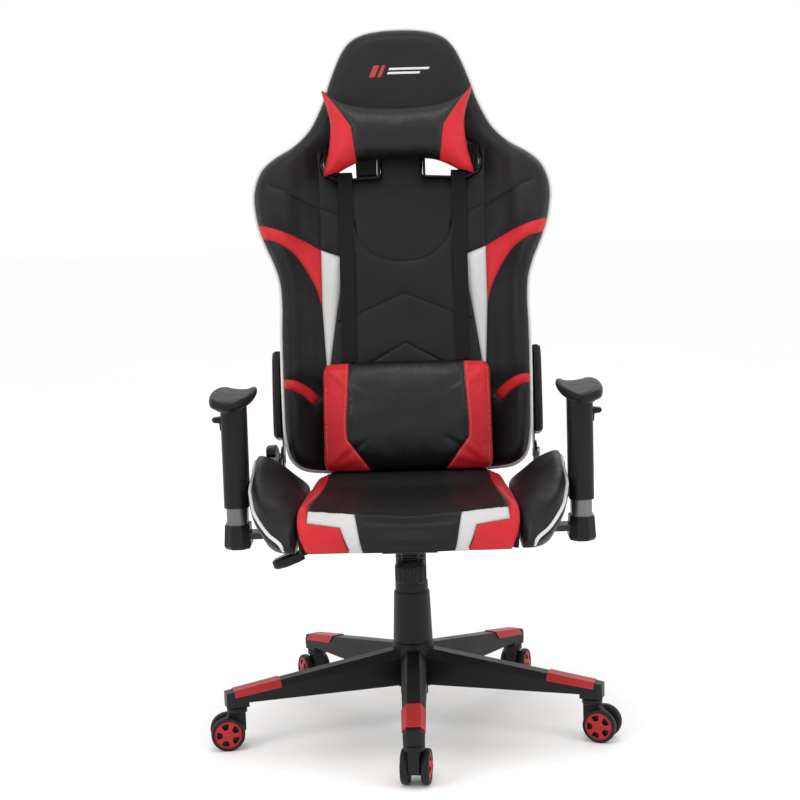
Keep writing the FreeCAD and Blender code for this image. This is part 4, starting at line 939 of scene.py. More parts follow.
def sewn_lines():
    """stitching beside the seams of the backrest, and a plain embroidered mark on the head panel"""
    jobs = {"black": [], "white": []}
    for side in (1, -1):
        f = (lambda P: np.asarray(P, float)) if side > 0 else mirror
        for L, off, tag in (
            (RED_TOP, (0.8, 3.4), "black"), (RED_LOW, (1.2, -3.4), "black"), (V_SEAM, (3.4, 0), "black"), (V_SEAM, (-3.4, 0), "black"),
            (W_IN, (-3.3, -0.4), "black"), (LOW_TOP, (0.6, 3.2), "black"), (LOW_LOW, (-0.6, -3.2), "black"), (TAIL, (-3.3, 0), "black"),
        ):
            Q = spline(np.asarray(L, float) + off, 3.0)
            Q = clip(Q, EDGE)
            d, _ = dist(Q, [(EDGE, True)])
            Q = Q[(d > 5) & (Q[:, 1] > 8)]
            jobs[tag].append(f(Q))
    l3, n3 = [], []
    for Q in jobs["black"]:
        a, b = on_face(Q, 0.05)
        l3.append(a)
        n3.append(b)
    V, F = stitches(l3, n3, 5.2, 3.5)
    S = Shape()
    S.add(V, F)
    o = S.obj("backrest_stitching", ["thread_black"])
    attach(o, "back")
    # embroidered mark: a slanted tab and two bars
    S = Shape()

    def patch(poly, mat, nx, ny):
        a, b, c, d = [np.array(q, float) for q in poly]
        uv = [(i / (nx - 1), j / (ny - 1)) for i in range(nx) for j in range(ny)]
        Q = np.array([a * (1 - u) * (1 - v) + b * u * (1 - v) + c * u * v + d * (1 - u) * v for u, v in uv])
        rim = np.array([min(min(u, 1 - u) * (nx - 1), min(v, 1 - v) * (ny - 1)) for u, v in uv])
        P3, N3 = on_face(Q)
        h = np.where(rim < 0.5, -0.3, 0.75) + 0.10 * waves1(Q[:, 0] * 3.1 + Q[:, 1] * 0.7, 3.0, 5) * (rim > 0.5)
        S.add(P3 + N3 * h[:, None], grid_faces(nx, ny), mat)

    v0 = 762.0
    patch([(-58, v0 - 12), (-46, v0 - 12), (-36, v0 + 12), (-48, v0 + 12)], 0, 9, 17)
    patch([(-42, v0 - 12), (-34, v0 - 12), (-24, v0 + 12), (-32, v0 + 12)], 0, 7, 17)
    patch([(-20, v0 + 1.5), (58, v0 + 1.5), (60, v0 + 6.5), (-18, v0 + 6.5)], 1, 50, 6)
    patch([(-23, v0 - 6.5), (40, v0 - 6.5), (42, v0 - 1.5), (-21, v0 - 1.5)], 1, 42, 6)
    o = S.obj("headrest_mark", ["thread_red", "thread_white"], recalc=False)
    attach(o, "back")


sewn_lines()


# ------------------------------------------------------------------ seat cushion
PROF = [(229, 392), (232, 404), (227, 416), (213, 424), (188, 429), (165, 433), (152, 440), (140, 446), (125, 450), (95, 451), (60, 450), (0, 450), (-70, 451), (-160, 455), (-205, 456), (-237, 451), (-258, 440), (-271, 422), (-275, 398), (-267, 379)]


def _prof():
    P = spline(PROF, 1.0)
    L = np.r_[0, np.cumsum(np.linalg.norm(np.diff(P, axis=0), axis=1))]
    k = np.argmin(np.abs(P[:, 0] + 237) + np.abs(P[:, 1] - 451))
    L += 440 - L[k]
    T = np.gradient(P, axis=0)
    T /= np.linalg.norm(T, axis=1)[:, None]
    K = np.ones(15) / 15
    Ts = np.stack([np.convolve(np.pad(T[:, j], 7, mode="edge"), K, "valid") for j in (0, 1)], 1)
    Ts /= np.linalg.norm(Ts, axis=1)[:, None]
    N = np.stack([Ts[:, 1], -Ts[:, 0]], 1)  # the path runs forward along the top, so this is up and out
    return P, L, N


SP, SL, SN = _prof()
S0, S1 = float(SL[0]), float(SL[-1])


def SEAT(x, s, h=0.0):
    y, z = np.interp(s, SL, SP[:, 0]), np.interp(s, SL, SP[:, 1])
    ny, nz = np.interp(s, SL, SN[:, 0]), np.interp(s, SL, SN[:, 1])
    return np.stack([x, y + ny * h, z + nz * h], -1)


def seat_half(s):
    return np.interp(s, [S0, 0, 100, 250, 430, 470, 505, S1], [168, 170, 174, 184, 186, 185, 181, 176])


def seat_cushion():
    ss = np.arange(S0, S1 + 0.1, 4.5)
    ss[-1] = S1
    right = np.stack([seat_half(ss), ss], 1)
    top = resample([(-168, S0), (168, S0)], 4.5)
    bot = resample([(176, S1), (-176, S1)], 4.5)
    edge = np.vstack([top[:-1], right[:-1], bot[:-1], mirror(right)[::-1][:-1]])
    edge = edge[::-1] if _area(edge) < 0 else edge
    strip = [(147, 60), (149, 120), (156, 240), (165, 365), (167, 436)]
    strip_low = [(167, 436), (168, 472)]
    L1 = [(167, 436), (89, 454), (77, S1)]
    L2 = [(168, 472), (113, 483), (98, S1)]
    hard = []
    for side in (1, -1):
        f = (lambda Q: np.asarray(Q, float)) if side > 0 else mirror
        st = spline([(150, S0), (150, 20)] + strip, 4.2)
        for Q in (st, resample(strip_low, 4.2), resample(L1[:2], 4.2), spline(L1[1:], 4.2), resample(L2[:2], 4.2), spline(L2[1:], 4.2)):
            Q = f(Q)
            hard.append(Q[inside(Q, edge)])
    P, T, C = triangulate(edge, [], hard, 5.2)
    dh, sh = dist(P, [(h, False) for h in hard])
    e, se = dist(P, [(edge, True)])
    ex = seat_half(P[:, 1]) - np.abs(P[:, 0])
    mats = np.zeros(len(T), int)
    for side in (1, -1):
        f = (lambda Q: np.asarray(Q, float)) if side > 0 else mirror
        st = spline([(150, S0), (150, 20)] + strip, 4.2)
        mats[inside(C, f(np.vstack([st, [(168, 472), (230, 472), (230, S0)]])))] = 1
        mats[inside(C, f(np.array([(168, 472), (113, 483), (98, S1 + 9), (230, S1 + 9), (230, 463)])))] = 1
        mats[inside(C, f(np.array([(167, 436), (89, 454), (77, S1 + 1), (98, S1 + 1), (113, 483), (168, 472)])))] = 2
    R = 15.0
    q = np.clip(ex / R, 0, 1)
    drop = R * (1 - np.sqrt(np.maximum(1 - (1 - q) ** 2, 0)))
    base = -5.0 - drop
    S = Shape()
    # painted seam shade and dirt along the hard seams
    S.add(SEAT(P[:, 0], P[:, 1], base), T, mats, np.exp(-((dh / 1.3) ** 2)))
    ob = S.obj("seat_cushion_cover", ["black", "red", "white"])
    pin = np.where(e < 0.5, 1.0, np.where(dh < 0.4, 0.35, 0.0))
    inflate(ob, pin, pressure=4.0, cap=14.0)
    co = np.empty(len(ob.data.vertices) * 3)
    ob.data.vertices.foreach_get("co", co)
    co = co.reshape(-1, 3) * 1000
    B = SEAT(P[:, 0], P[:, 1], base)
    nrm = np.stack([np.zeros(len(P)), np.interp(P[:, 1], SL, SN[:, 0]), np.interp(P[:, 1], SL, SN[:, 1])], 1)
    lift = ((co - B) * nrm).sum(1)
    top_l = max(float(np.percentile(lift, 98)), 1e-3)
    lift = lift * min(1.0, 9.0 / top_l) if top_l > 9 else lift
    crown = 4.0 * np.cos(np.clip(P[:, 0] / 190, -1, 1) * np.pi / 2)
    groove = 2.8 * np.exp(-((dh / 2.2) ** 2))
    puck = 0.55 * waves1(sh, 9, 51) * np.exp(-((dh / 8) ** 2)) * (1 - np.exp(-((dh / 2.5) ** 2)))
    dip = -3.5 * np.exp(-(((P[:, 0]) / 95) ** 2)) * np.exp(-(((P[:, 1] - 240) / 90) ** 2))
    h = base + lift + crown - groove + puck + dip + 0.3 * waves(P, 110, 52) + 0.1 * waves(P, 40, 53)
    V = SEAT(P[:, 0], P[:, 1], h) * 0.001
    # the stuffing is packed fuller under the foot of the backrest
    yy, ax = V[:, 1] * 1000, np.abs(P[:, 0])
    full = np.clip((yy - 20) / 75, 0, 1) ** 2 * (3 - 2 * np.clip((yy - 20) / 75, 0, 1)) * np.clip((160 - ax) / 14, 0, 1)
    rear = np.interp(yy, [20, 60, 95, 126, 134, 141, 148, 156, 170, 190, 215], [451, 452.0, 453.2, 453.6, 452.4, 449.0, 445.0, 441.0, 436.5, 431, 424]) - 3.5 * (ax / 160) ** 4 - groove + 0.4 * puck
    V[:, 2] = np.where(P[:, 1] < 460, V[:, 2] * (1 - full) + np.maximum(rear * 0.001, V[:, 2] - 0.002) * full, V[:, 2])
    ob.data.vertices.foreach_set("co", V.ravel())
    ob.data.update()
    # walls from the edge down to the board, and a lip under the front
    on = np.nonzero(e < 1e-3)[0]
    S2 = Shape()
    ring = []
    used = []
    for p in edge:
        k = on[np.argmin(np.linalg.norm(P[on] - p, axis=1))]
        if not used or used[-1] != k:
            used.append(int(k))
    top3 = V[used] * 1000
    lev = [0, 0.15, 0.5, 0.85, 1.0]
    low = top3.copy()
    low[:, 2] = np.where(top3[:, 1] < -250, 379.5, 393.0)
    low[:, 2] = np.minimum(low[:, 2], top3[:, 2] - 0.5)
    low[:, 0] *= 0.992
    inner = low.copy()
    inner[:, 0] *= 0.9
    inner[:, 1] = inner[:, 1] * 0.9
    inner[:, 2] = np.where(inner[:, 1] < -226, 379.5, 393.0)
    rows = [top3 * (1 - u) + low * u for u in lev] + [inner]
    S2.add(np.vstack(rows), grid_faces(len(rows), len(used), False, True), 0)
    wall = S2.obj("seat_cushion_side", ["black"], recalc=True)
    for o in (ob, wall):
        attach(o, "seat")
    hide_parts("seat_cushion")


def _area(P):
    x, y = P[:, 0], P[:, 1]
    return 0.5 * float(np.sum(x * np.roll(y, -1) - np.roll(x, -1) * y))


seat_cushion()

# ------------------------------------------------------------------ seat bolsters
ST = {
    -262: [(187, 379), (187, 396), (196, 403), (207, 402), (212, 392), (202, 379)],
    -238: [(187, 379), (187, 424), (206, 426), (230, 417), (237, 404), (222, 379)],
    -185: [(187, 379), (187, 440), (222, 447), (256, 445), (264, 430), (240, 379)],
    -90: [(187, 379), (187, 446), (240, 463), (271, 467), (279, 450), (250, 379)],
    0: [(187, 379), (187, 444), (241, 476), (273, 485), (281, 466), (250, 379)],
    75: [(187, 379), (187, 440), (240, 478), (277, 486), (288, 464), (250, 379)],
    125: [(187, 379), (187, 434), (232, 458), (262, 464), (272, 444), (246, 379)],
    152: [(187, 379), (187, 424), (222, 436), (244, 438), (252, 424), (236, 379)],
}


def bolsters():
    ys = sorted(ST)
    Y = np.arange(-262, 152.1, 4.6)
    A = np.zeros((len(Y), 6, 2))
    base = np.array([ST[y] for y in ys], float)
    for k in range(6):
        for j in range(2):
            A[:, k, j] = np.interp(Y, ys, base[:, k, j])
    # smooth along the length
    K = np.exp(-0.5 * (np.arange(-6, 7) / 2.6) ** 2)
    K /= K.sum()
    for k in range(6):
        for j in range(2):
            A[:, k, j] = np.convolve(np.pad(A[:, k, j], 6, mode="reflect", reflect_type="odd"), K, "valid")
    for side, tag in ((1, "left"), (-1, "right")):
        S = Shape()
        secs, seams, ridge = [], [], []
        for i, y in enumerate(Y):
            p = A[i]
            end = min((y + 262) / 34.0, (152 - y) / 30.0, 1.0)
            sq = math.sqrt(max(0.0, 1 - (1 - end) ** 2)) if end < 1 else 1.0
            # inner wall, top, ridge seam, outer side, underside
            up = (9.0 if side < 0 else 5.0) * math.exp(-(((y - 45) / 85) ** 2))
            p = p + np.array([(0, 0), (0, 0), (0, 0.6 * up), (0, up), (0, up), (0, 0)])
            u = float(np.interp(y, [-120, 10], [0.7, 0.42]))
            rid = p[3] * (1 - u) + p[4] * u + (0.6, 0)
            inner_top = p[1]
            tp = spline([p[0] + (0, 6), inner_top * (0.35, 1) + (187 * 0.65, -9), inner_top + (7, 0.5), p[2], p[3] + (-2, 1), rid], 3.4)
            tp = resample(tp, 1.0)
            tp = tp[np.linspace(0, len(tp) - 1, 30).round().astype(int)]
            ot = resample(spline([rid, p[4] + (1.0, -4), p[4] * 0.5 + p[5] * 0.5 + (4.5, 0), p[5] + (1, 0)], 3.0), 1.0)
            ot = ot[np.linspace(0, len(ot) - 1, 18).round().astype(int)]
            bt = np.linspace(p[5], p[0], 8)[1:]
            sec = np.vstack([tp, ot[1:], bt])
            c = np.array([(p[0][0] + p[5][0]) / 2, 379 + 6])
            sec = c + (sec - c) * (0.72 + 0.28 * sq) if end < 1 else sec
            secs.append(sec)
            ridge.append(sec[29])
        G3 = np.array(secs)
        n, m = G3.shape[:2]
        X3 = np.stack([G3[:, :, 0], np.repeat(Y[:, None], m, 1), G3[:, :, 1]], 2)
        # a groove at the ridge seam, soft waves and puckering along the surface normal
        du = np.gradient(X3, axis=1)
        dv = np.gradient(X3, axis=0)
        N = np.cross(du, dv)
        N /= np.maximum(np.linalg.norm(N, axis=2)[..., None], 1e-9)
        cen = X3.mean(axis=1, keepdims=True)
        if ((X3 - cen) * N).sum() < 0:
            N = -N
        uu = np.arange(m)
        gro = -1.8 * np.exp(-(((uu - 29) / 1.0) ** 2))
        fadeY = np.clip(np.minimum(np.arange(n), n - 1 - np.arange(n)) / 6.0, 0, 1)
        q = np.stack([np.repeat(Y[:, None], m, 1).ravel(), np.repeat(uu[None] * 3.0, n, 0).ravel()], 1)
        soft = (0.45 * waves(q, 80, 61) + 0.1 * waves(q, 30, 62)).reshape(n, m)
        puck = 0.25 * waves1(Y, 11, 63)[:, None] * np.exp(-(((uu - 29) / 3.2) ** 2))[None]
        vis = np.where((uu > 3) & (uu < 46), 1.0, 0.0)[None]
        h = (gro[None] + soft * vis + puck * vis) * fadeY[:, None]
        X3 = X3 + N * h[..., None]
        V = X3.reshape(-1, 3).copy()
        V[:, 0] *= side
        # painted seam shade and dirt along the ridge seam under the piping
        ridge_shade_and_dirt = np.repeat(np.exp(-(((uu - 29) / 0.7) ** 2))[None], n, 0).ravel()
        F = grid_faces(n, m, False, True)
        S.add(V, F, 0, ridge_shade_and_dirt)
        for row in (0, n - 1):
            c = V[row * m : (row + 1) * m].mean(0)
            yoff = -5.0 if row == 0 else 4.0
            ring = V[row * m : (row + 1) * m]
            r1 = c + (ring - c) * 0.72 + (0, yoff * 0.75, 0)
            r2 = c + (ring - c) * 0.32 + (0, yoff, 0)
            b0 = S.add(np.vstack([ring, r1, r2, [c + (0, yoff * 1.05, 0)]]), grid_faces(3, m, False, True), 0)
            S.F += [(b0 + 2 * m + i, b0 + 2 * m + (i + 1) % m, b0 + 3 * m) for i in range(m)]
            S.Mi += [0] * m
        ob = S.obj("seat_bolster_" + tag, ["black"], merge=0.05)
        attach(ob, "seat")
        if side == 1:
            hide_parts("seat_bolsters")
        # piping on the ridge
        R3 = X3[:, 29].copy()
        R3 = R3 + N[:, 29] * 1.8
        R3[:, 0] *= side
        R3 = R3[1:-1]
        head = R3[0] + np.array([-side * 7.0, -1.0, -12.0])
        tail = R3[-1] + np.array([-side * 3.0, 5.0, -10.0])
        Pp = spline(np.vstack([[head], R3[::4], [R3[-1]], [tail]]), 4.6)
        V, F = tube(Pp, 3.1, False, 10, rough=0.02, seed=5)
        S = Shape()
        S.add(V, F)
        p = S.obj("seat_piping_" + tag, ["piping"])
        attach(p, "seat")


bolsters()


# ------------------------------------------------------------------ pillows
def pillow(name, outline, seams_by, mats_by, cw, half, node, colours, bow=0.0, seed=70, press=4.0, stitch_lines=()):
    """Stuffed pillow in backrest coordinates: two sewn faces, blown up by the cloth simulation and then fitted to its half thickness."""
    edge = resample(outline, 4.2, True)
    if _area(edge) < 0:
        edge = edge[::-1]
    P, T, C = triangulate(edge, [], seams_by, 4.8, rows=(1.5, 3.6), edge_rows=(0.8, 2.2, 4.4, 7.5))
    e, se = dist(P, [(edge, True)])
    n = len(P)
    on = e < 1e-3
    dh, sh = dist(P, [(s, False) for s in seams_by]) if seams_by else (np.full(n, 1e9), np.zeros(n))
    mats = np.zeros(len(T), int)
    for poly, k in mats_by:
        mats[inside(C, poly)] = k
    t0 = half * 0.55 * np.sqrt(np.clip(1 - (1 - np.clip(e / 55.0, 0, 1)) ** 2, 0, 1))
    cwv = cw(P[:, 0], P[:, 1])
    S = Shape()
    S.add(BK(P[:, 0], cwv - t0, P[:, 1]), T, mats)
    S.add(BK(P[:, 0], cwv + t0, P[:, 1]), [tuple(t)[::-1] for t in T], mats)
    me_v = np.vstack(S.V)
    # share the edge points between the two faces
    remap = np.arange(2 * n)
    remap[n:][on] = np.nonzero(on)[0]
    keep = np.unique(remap)
    newi = np.full(2 * n, -1)
    newi[keep] = np.arange(len(keep))
    F = [tuple(int(newi[remap[i]]) for i in f) for f in S.F]
    S2 = Shape()
    S2.add(me_v[keep], F, S.Mi)
    ob = S2.obj(name, colours)
    P2 = np.vstack([P, P])[keep]
    sgn = np.r_[-np.ones(n), np.ones(n)][keep]
    e2, dh2, sh2, se2, on2, cw2 = [np.r_[a, a][keep] for a in (e, dh, sh, se, on, cwv)]
    pin = np.where(on2, 1.0, 0.0)
    inflate(ob, pin, pressure=press, cap=30.0, bend=0.25)
    co = np.empty(len(keep) * 3)
    ob.data.vertices.foreach_get("co", co)
    co = co.reshape(-1, 3) * 1000
    # back to backrest coordinates
    w = (co[:, 1] - 186) * C10 - (co[:, 2] - 443) * S10
    v = (co[:, 1] - 186) * S10 + (co[:, 2] - 443) * C10
    x = co[:, 0]
    t = (w - cw2) * sgn
    k = half / max(float(np.percentile(t, 99)), 1e-3)
    t = t * k
    t = t - 2.2 * np.exp(-((dh2 / 2.2) ** 2)) - 1.5 * np.exp(-((dh2 / 10) ** 2))
    t += 0.6 * waves1(sh2, 9, seed) * np.exp(-((dh2 / 8) ** 2)) * (1 - np.exp(-((dh2 / 2.5) ** 2)))
    t += 0.9 * waves1(se2, 12, seed + 1) * np.exp(-(((e2 - 8) / 8) ** 2))
    t += 0.7 * waves(P2, 60, seed + 2) * np.clip(e2 / 25, 0, 1)
    t = np.where(on2, 0, np.maximum(t, 0.3 + 0.05 * e2))
    w = cw2 + sgn * t
    V = BK(x, w, v)
    ob.data.vertices.foreach_set("co", (V * 0.001).ravel())
    # painted seam shade and dirt along the seams, and at 0.8 round the edge where the two faces meet
    at = ob.data.attributes["seam"]
    at.data.foreach_set("value", np.maximum(np.exp(-((dh2 / 1.2) ** 2)), 0.8 * np.exp(-((e2 / 1.0) ** 2))))
    ob.data.update()
    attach(ob, "back")
    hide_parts(node)
    # stitching beside the seams, on the front face only
    if stitch_lines:
        me = ob.data
        nor = np.empty(len(keep) * 3)
        me.vertices.foreach_get("normal", nor)
        nor = nor.reshape(-1, 3)
        fr = np.nonzero(sgn < 0)[0]
        XV = np.stack([x[fr], v[fr]], 1)
        for tag, mat, lines in stitch_lines:
            l3, n3 = [], []
            for Lp in lines:
                Q = resample(Lp, 3.0)
                idx = [fr[np.argsort(((XV - q) ** 2).sum(1))[:4]] for q in Q]
                wq = []
                for q, ii in zip(Q, idx):
                    dd = 1 / (np.linalg.norm(np.stack([x[ii], v[ii]], 1) - q, axis=1) + 0.3)
                    dd /= dd.sum()
                    wq.append((float((w[ii] * dd).sum()), (nor[ii] * dd[:, None]).sum(0)))
                ww = np.array([a for a, _ in wq])
                l3.append(BK(Q[:, 0], ww - 0.15, Q[:, 1]))
                n3.append(np.array([b for _, b in wq]))
            V, F = stitches(l3, n3)
            S3 = Shape()
            S3.add(V, F)
            so = S3.obj(name + "_stitching_" + tag, [mat])
            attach(so, "back")
    # the edge outline on the centre surface, returned to the caller
    ring = BK(edge[:, 0], cw(edge[:, 0], edge[:, 1]), edge[:, 1])
    return ob, ring


def lumbar():
    h = [(0, -3), (70, -3), (125, -2), (149, 0), (156, 8), (157, 50), (157, 100), (156, 150), (155, 186), (149, 196), (120, 199), (70, 201), (0, 202)]
    o = np.array(h + [(-x, v) for x, v in h[-2:0:-1]], float)
    o = spline(o, 4.2, True)
    s = spline([(107, 199.5), (108, 170), (110, 133), (113, 84), (112, 56)], 4.0)
    s2 = resample([(112, 56), (70, -0.5)], 4.0)
    full = np.vstack([s[:-1], s2])
    full = full[inside(full, resample(o, 4.2, True))]
    seams = both(full)
    poly = np.vstack([full[:1] + (0, 9), full, full[-1:] + (-3, -9), [(200, -9), (200, 210)]])
    cw = lambda x, v: -80.0 + 6.0 * (np.abs(x) / 156) ** 3 + 0 * v
    off = full + np.array([4.2, 0.6])
    off = off[inside(off, shrink(o, 5))]
    outer = np.array([(150.5, 186), (151, 150), (151.5, 100), (151, 50), (150, 12)])
    lines = both(off) + both(spline(outer, 4))
    lines = [l[::-1] for l in lines]
    pillow("lumbar_pillow_cover", o, seams, [(poly, 1), (mirror(poly), 1)], cw, 43.0, "lumbar_pillow", ["satin", "red"], seed=70, stitch_lines=[("red", "thread_pale", lines)])


def head():
    top = [(0, 682), (50, 685), (88, 691), (118, 704), (138, 719), (143, 722)]
    side = [(143, 722), (141, 712), (134, 690), (128, 664), (127, 645), (131, 606), (142, 560), (142, 554)]
    bot = [(142, 554), (120, 558), (104, 567), (70, 581), (30, 585), (0, 585)]
    sh = np.array([-5.0, 0.0])
    h = np.vstack([spline(top, 4)[:-1], spline(side, 4)[:-1], spline(bot, 4)])
    o = np.vstack([h, mirror(h)[::-1][1:-1]])
    s = np.vstack([spline([(137, 716), (112, 681), (86, 642)], 4.0)[:-1], resample([(86, 642), (78, 580)], 4.0)])
    o4 = resample(o, 4.2, True)
    s = s[inside(s, o4)]
    seams = [q + sh for q in both(s)]
    poly = np.vstack([[(146, 740)], s, s[-1:] + (-2, -9), [(200, 540), (200, 740)]])
    cw = lambda x, v: -71.0 + 11.0 * (np.abs(x - sh[0]) / 147) ** 3 + 0 * v
    off = [q + sh for q in both((s + np.array([3.2, -3.2]))[4:-3])]
    o = o + sh
    pillow("head_pillow_cover", o, seams, [(poly + sh, 1), (mirror(poly) + sh, 1)], cw, 37.0, "head_pillow", ["satin", "red"], seed=90, stitch_lines=[("red", "thread_red", off)])


lumbar()
head()



def hard(node, mat, width=1.2, segs=3, angle=32, mats=None, merge=True):
    """A rounded-edge copy of a CAD node's own mesh, in the same place, standing for that node."""
    src = NODES[node]
    me = src.data.copy()
    me.name = node + "_m"
    bm = bmesh.new()
    bm.from_mesh(me)
    bmesh.ops.remove_doubles(bm, verts=bm.verts, dist=2e-6)
    if merge:
        bmesh.ops.dissolve_limit(bm, angle_limit=math.radians(0.6), use_dissolve_boundaries=False, verts=bm.verts, edges=bm.edges)
    bmesh.ops.recalc_face_normals(bm, faces=bm.faces)
    bm.to_mesh(me)
    bm.free()
    for a in list(me.attributes):
        if a.name.startswith("custom_normal"):
            me.attributes.remove(a)
    me.materials.clear()
    me.materials.append(M[mat])
    me.polygons.foreach_set("material_index", [0] * len(me.polygons))
    me.polygons.foreach_set("use_smooth", [True] * len(me.polygons))
    me.set_sharp_from_angle(angle=math.radians(angle))
    ob = bpy.data.objects.new(node + "_moulded", me)
    scene.collection.objects.link(ob)
    md = ob.modifiers.new("edges", "BEVEL")
    md.limit_method = "ANGLE"
    md.angle_limit = math.radians(angle)
    md.width = width * 0.001
    md.segments = segs
    md.use_clamp_overlap = True
    md.harden_normals = True
    if mats:
        me.materials.append(M[mats[0]])
        me.polygons.foreach_set("material_index", [1 if mats[1](p.center * 1000) else 0 for p in me.polygons])
    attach(ob, _body_of[node])
    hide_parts(node)
    return ob


_body_of = {}
for _n, _o2 in NODES.items():
    b = body_of(_o2)
    _body_of[_n] = b[0]

for n_, m_, w_ in (
    ("star_base", "nylon", 2.2), ("leg_pads", "red_plastic", 1.2), ("lower_cover", "plastic", 1.5), ("middle_cover", "plastic", 1.2),
    ("top_cover", "plastic", 1.2), ("tension_knob", "plastic", 1.0), ("mechanism_housing", "steel_black", 1.0), ("seat_plate", "steel_black", 0.8),
    ("arm_boots", "plastic", 2.0), ("arm_sleeve_left", "plastic", 2.5), ("arm_sleeve_right", "plastic", 2.5),
    ("arm_button_left", "plastic_gloss", 1.2), ("arm_button_right", "plastic_gloss", 1.2), ("lever_paddle", "plastic_gloss", 1.5), ("lever_rod", "steel_black", 0.4),
    ("recline_handle", "plastic_gloss", 1.4), ("side_covers", "plastic", 2.4), ("hinge_brackets", "steel_black", 0.7), ("back_brackets", "steel_black", 0.5),
):
    hard(n_, m_, w_)
hard("strap_bezels", "plastic", 0.8, angle=50, merge=False)
hard("arm_brackets", "steel_grey", 0.8, mats=("steel_black", lambda c: c.z < 393))
# a plain copy of the spring, without rounded edges and with a mesh of its own
_sp = hard("tension_spring", "steel_black", 0.1, angle=80, merge=False)
_sp.modifiers.clear()
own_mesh(_sp)
for i in range(1, 6):
    hard(f"caster_{i}_hood", "nylon", 1.0)

BYSLOT = {"black_nylon": "nylon", "black_plastic": "plastic", "red_plastic": "red_plastic", "black_steel": "steel_black", "grey_steel": "steel_grey", "bright_steel": "steel_bright", "plywood": "wood", "black_leather": "black", "red_leather": "red", "webbing": "web", "pu_pad": "pu", "caster_wheel": "tyre"}
for n_, o_ in NODES.items():
    if not o_.hide_render:
        for sl in o_.material_slots:
            k = (sl.material.name if sl.material else "").split(".")[0]
            k = "black_steel" if n_ in ("tension_spring", "gas_cylinder", "tension_screw") else k
            sl.material = M[BYSLOT.get(k, "plastic")]


# ------------------------------------------------------------------ arm pads
def arm_pads():
    sec = np.array([(-40, 623), (-36, 630), (-22, 628), (0, 625.5), (20, 626), (32, 629.5), (37.5, 627), (37.5, 619.5), (31, 609.5), (18, 603), (10, 600.6), (-14, 600.6), (-30, 607), (-39, 616)], float)
    sec = spline(sec, 2.0, True, 8)
    sec = sec[np.linspace(0, len(sec), 64, endpoint=False).astype(int)]
    for side, tag in ((1, "left"), (-1, "right")):
        ts = np.r_[0.0, 0.008, 0.025, 0.05, np.linspace(0.085, 0.915, 26), 0.95, 0.975, 0.992, 1.0]
        rows = []
        for t in ts:
            y = -168.5 + 247 * t
            q = min(t, 1 - t) * 247
            capk = math.sqrt(max(0, 1 - (1 - min(q / 20.0, 1)) ** 2))
            plan = 0.60 + 0.40 * math.sin(math.pi * min(max(t * 0.96 + 0.02, 0), 1)) ** 0.7
            sx = plan * (0.30 + 0.70 * capk)
            sz = 0.36 + 0.64 * capk
            zc = 618.0
            droop = -(2.4 if t < 0.5 else 8.0) * (abs(t - 0.5) * 2) ** 2.4
            rise = 5.0 * max(0.0, (0.4 - t) / 0.4) ** 2
            x = 303 - sec[:, 0] * sx  # raised lip on the inner side
            z = zc + (sec[:, 1] - zc) * sz + droop * np.clip((sec[:, 1] - 606) / 10, 0, 1) + rise * np.clip((614 - sec[:, 1]) / 8, 0, 1)
            x = x * side
            rows.append(np.stack([x, np.full(len(sec), y), z], 1))
        V = np.vstack(rows)
        m = len(sec)
        F = grid_faces(len(ts), m, False, True)
        S = Shape()
        S.add(V, F)
        for row in (0, len(ts) - 1):
            c = rows[row].mean(0)
            b0 = S.add(np.vstack([rows[row], c + (rows[row] - c) * 0.5, [c]]), grid_faces(2, m, False, True))
            S.F += [(b0 + m + i, b0 + m + (i + 1) % m, b0 + 2 * m) for i in range(m)]
            S.Mi += [0] * m
        ob = S.obj("arm_pad_cover_" + tag, ["pu"], merge=0.02, recalc=True)
        md = ob.modifiers.new("s", "SUBSURF")
        md.levels = md.render_levels = 1
        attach(ob, "arm_" + tag)
        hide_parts("arm_pad_" + tag)


arm_pads()


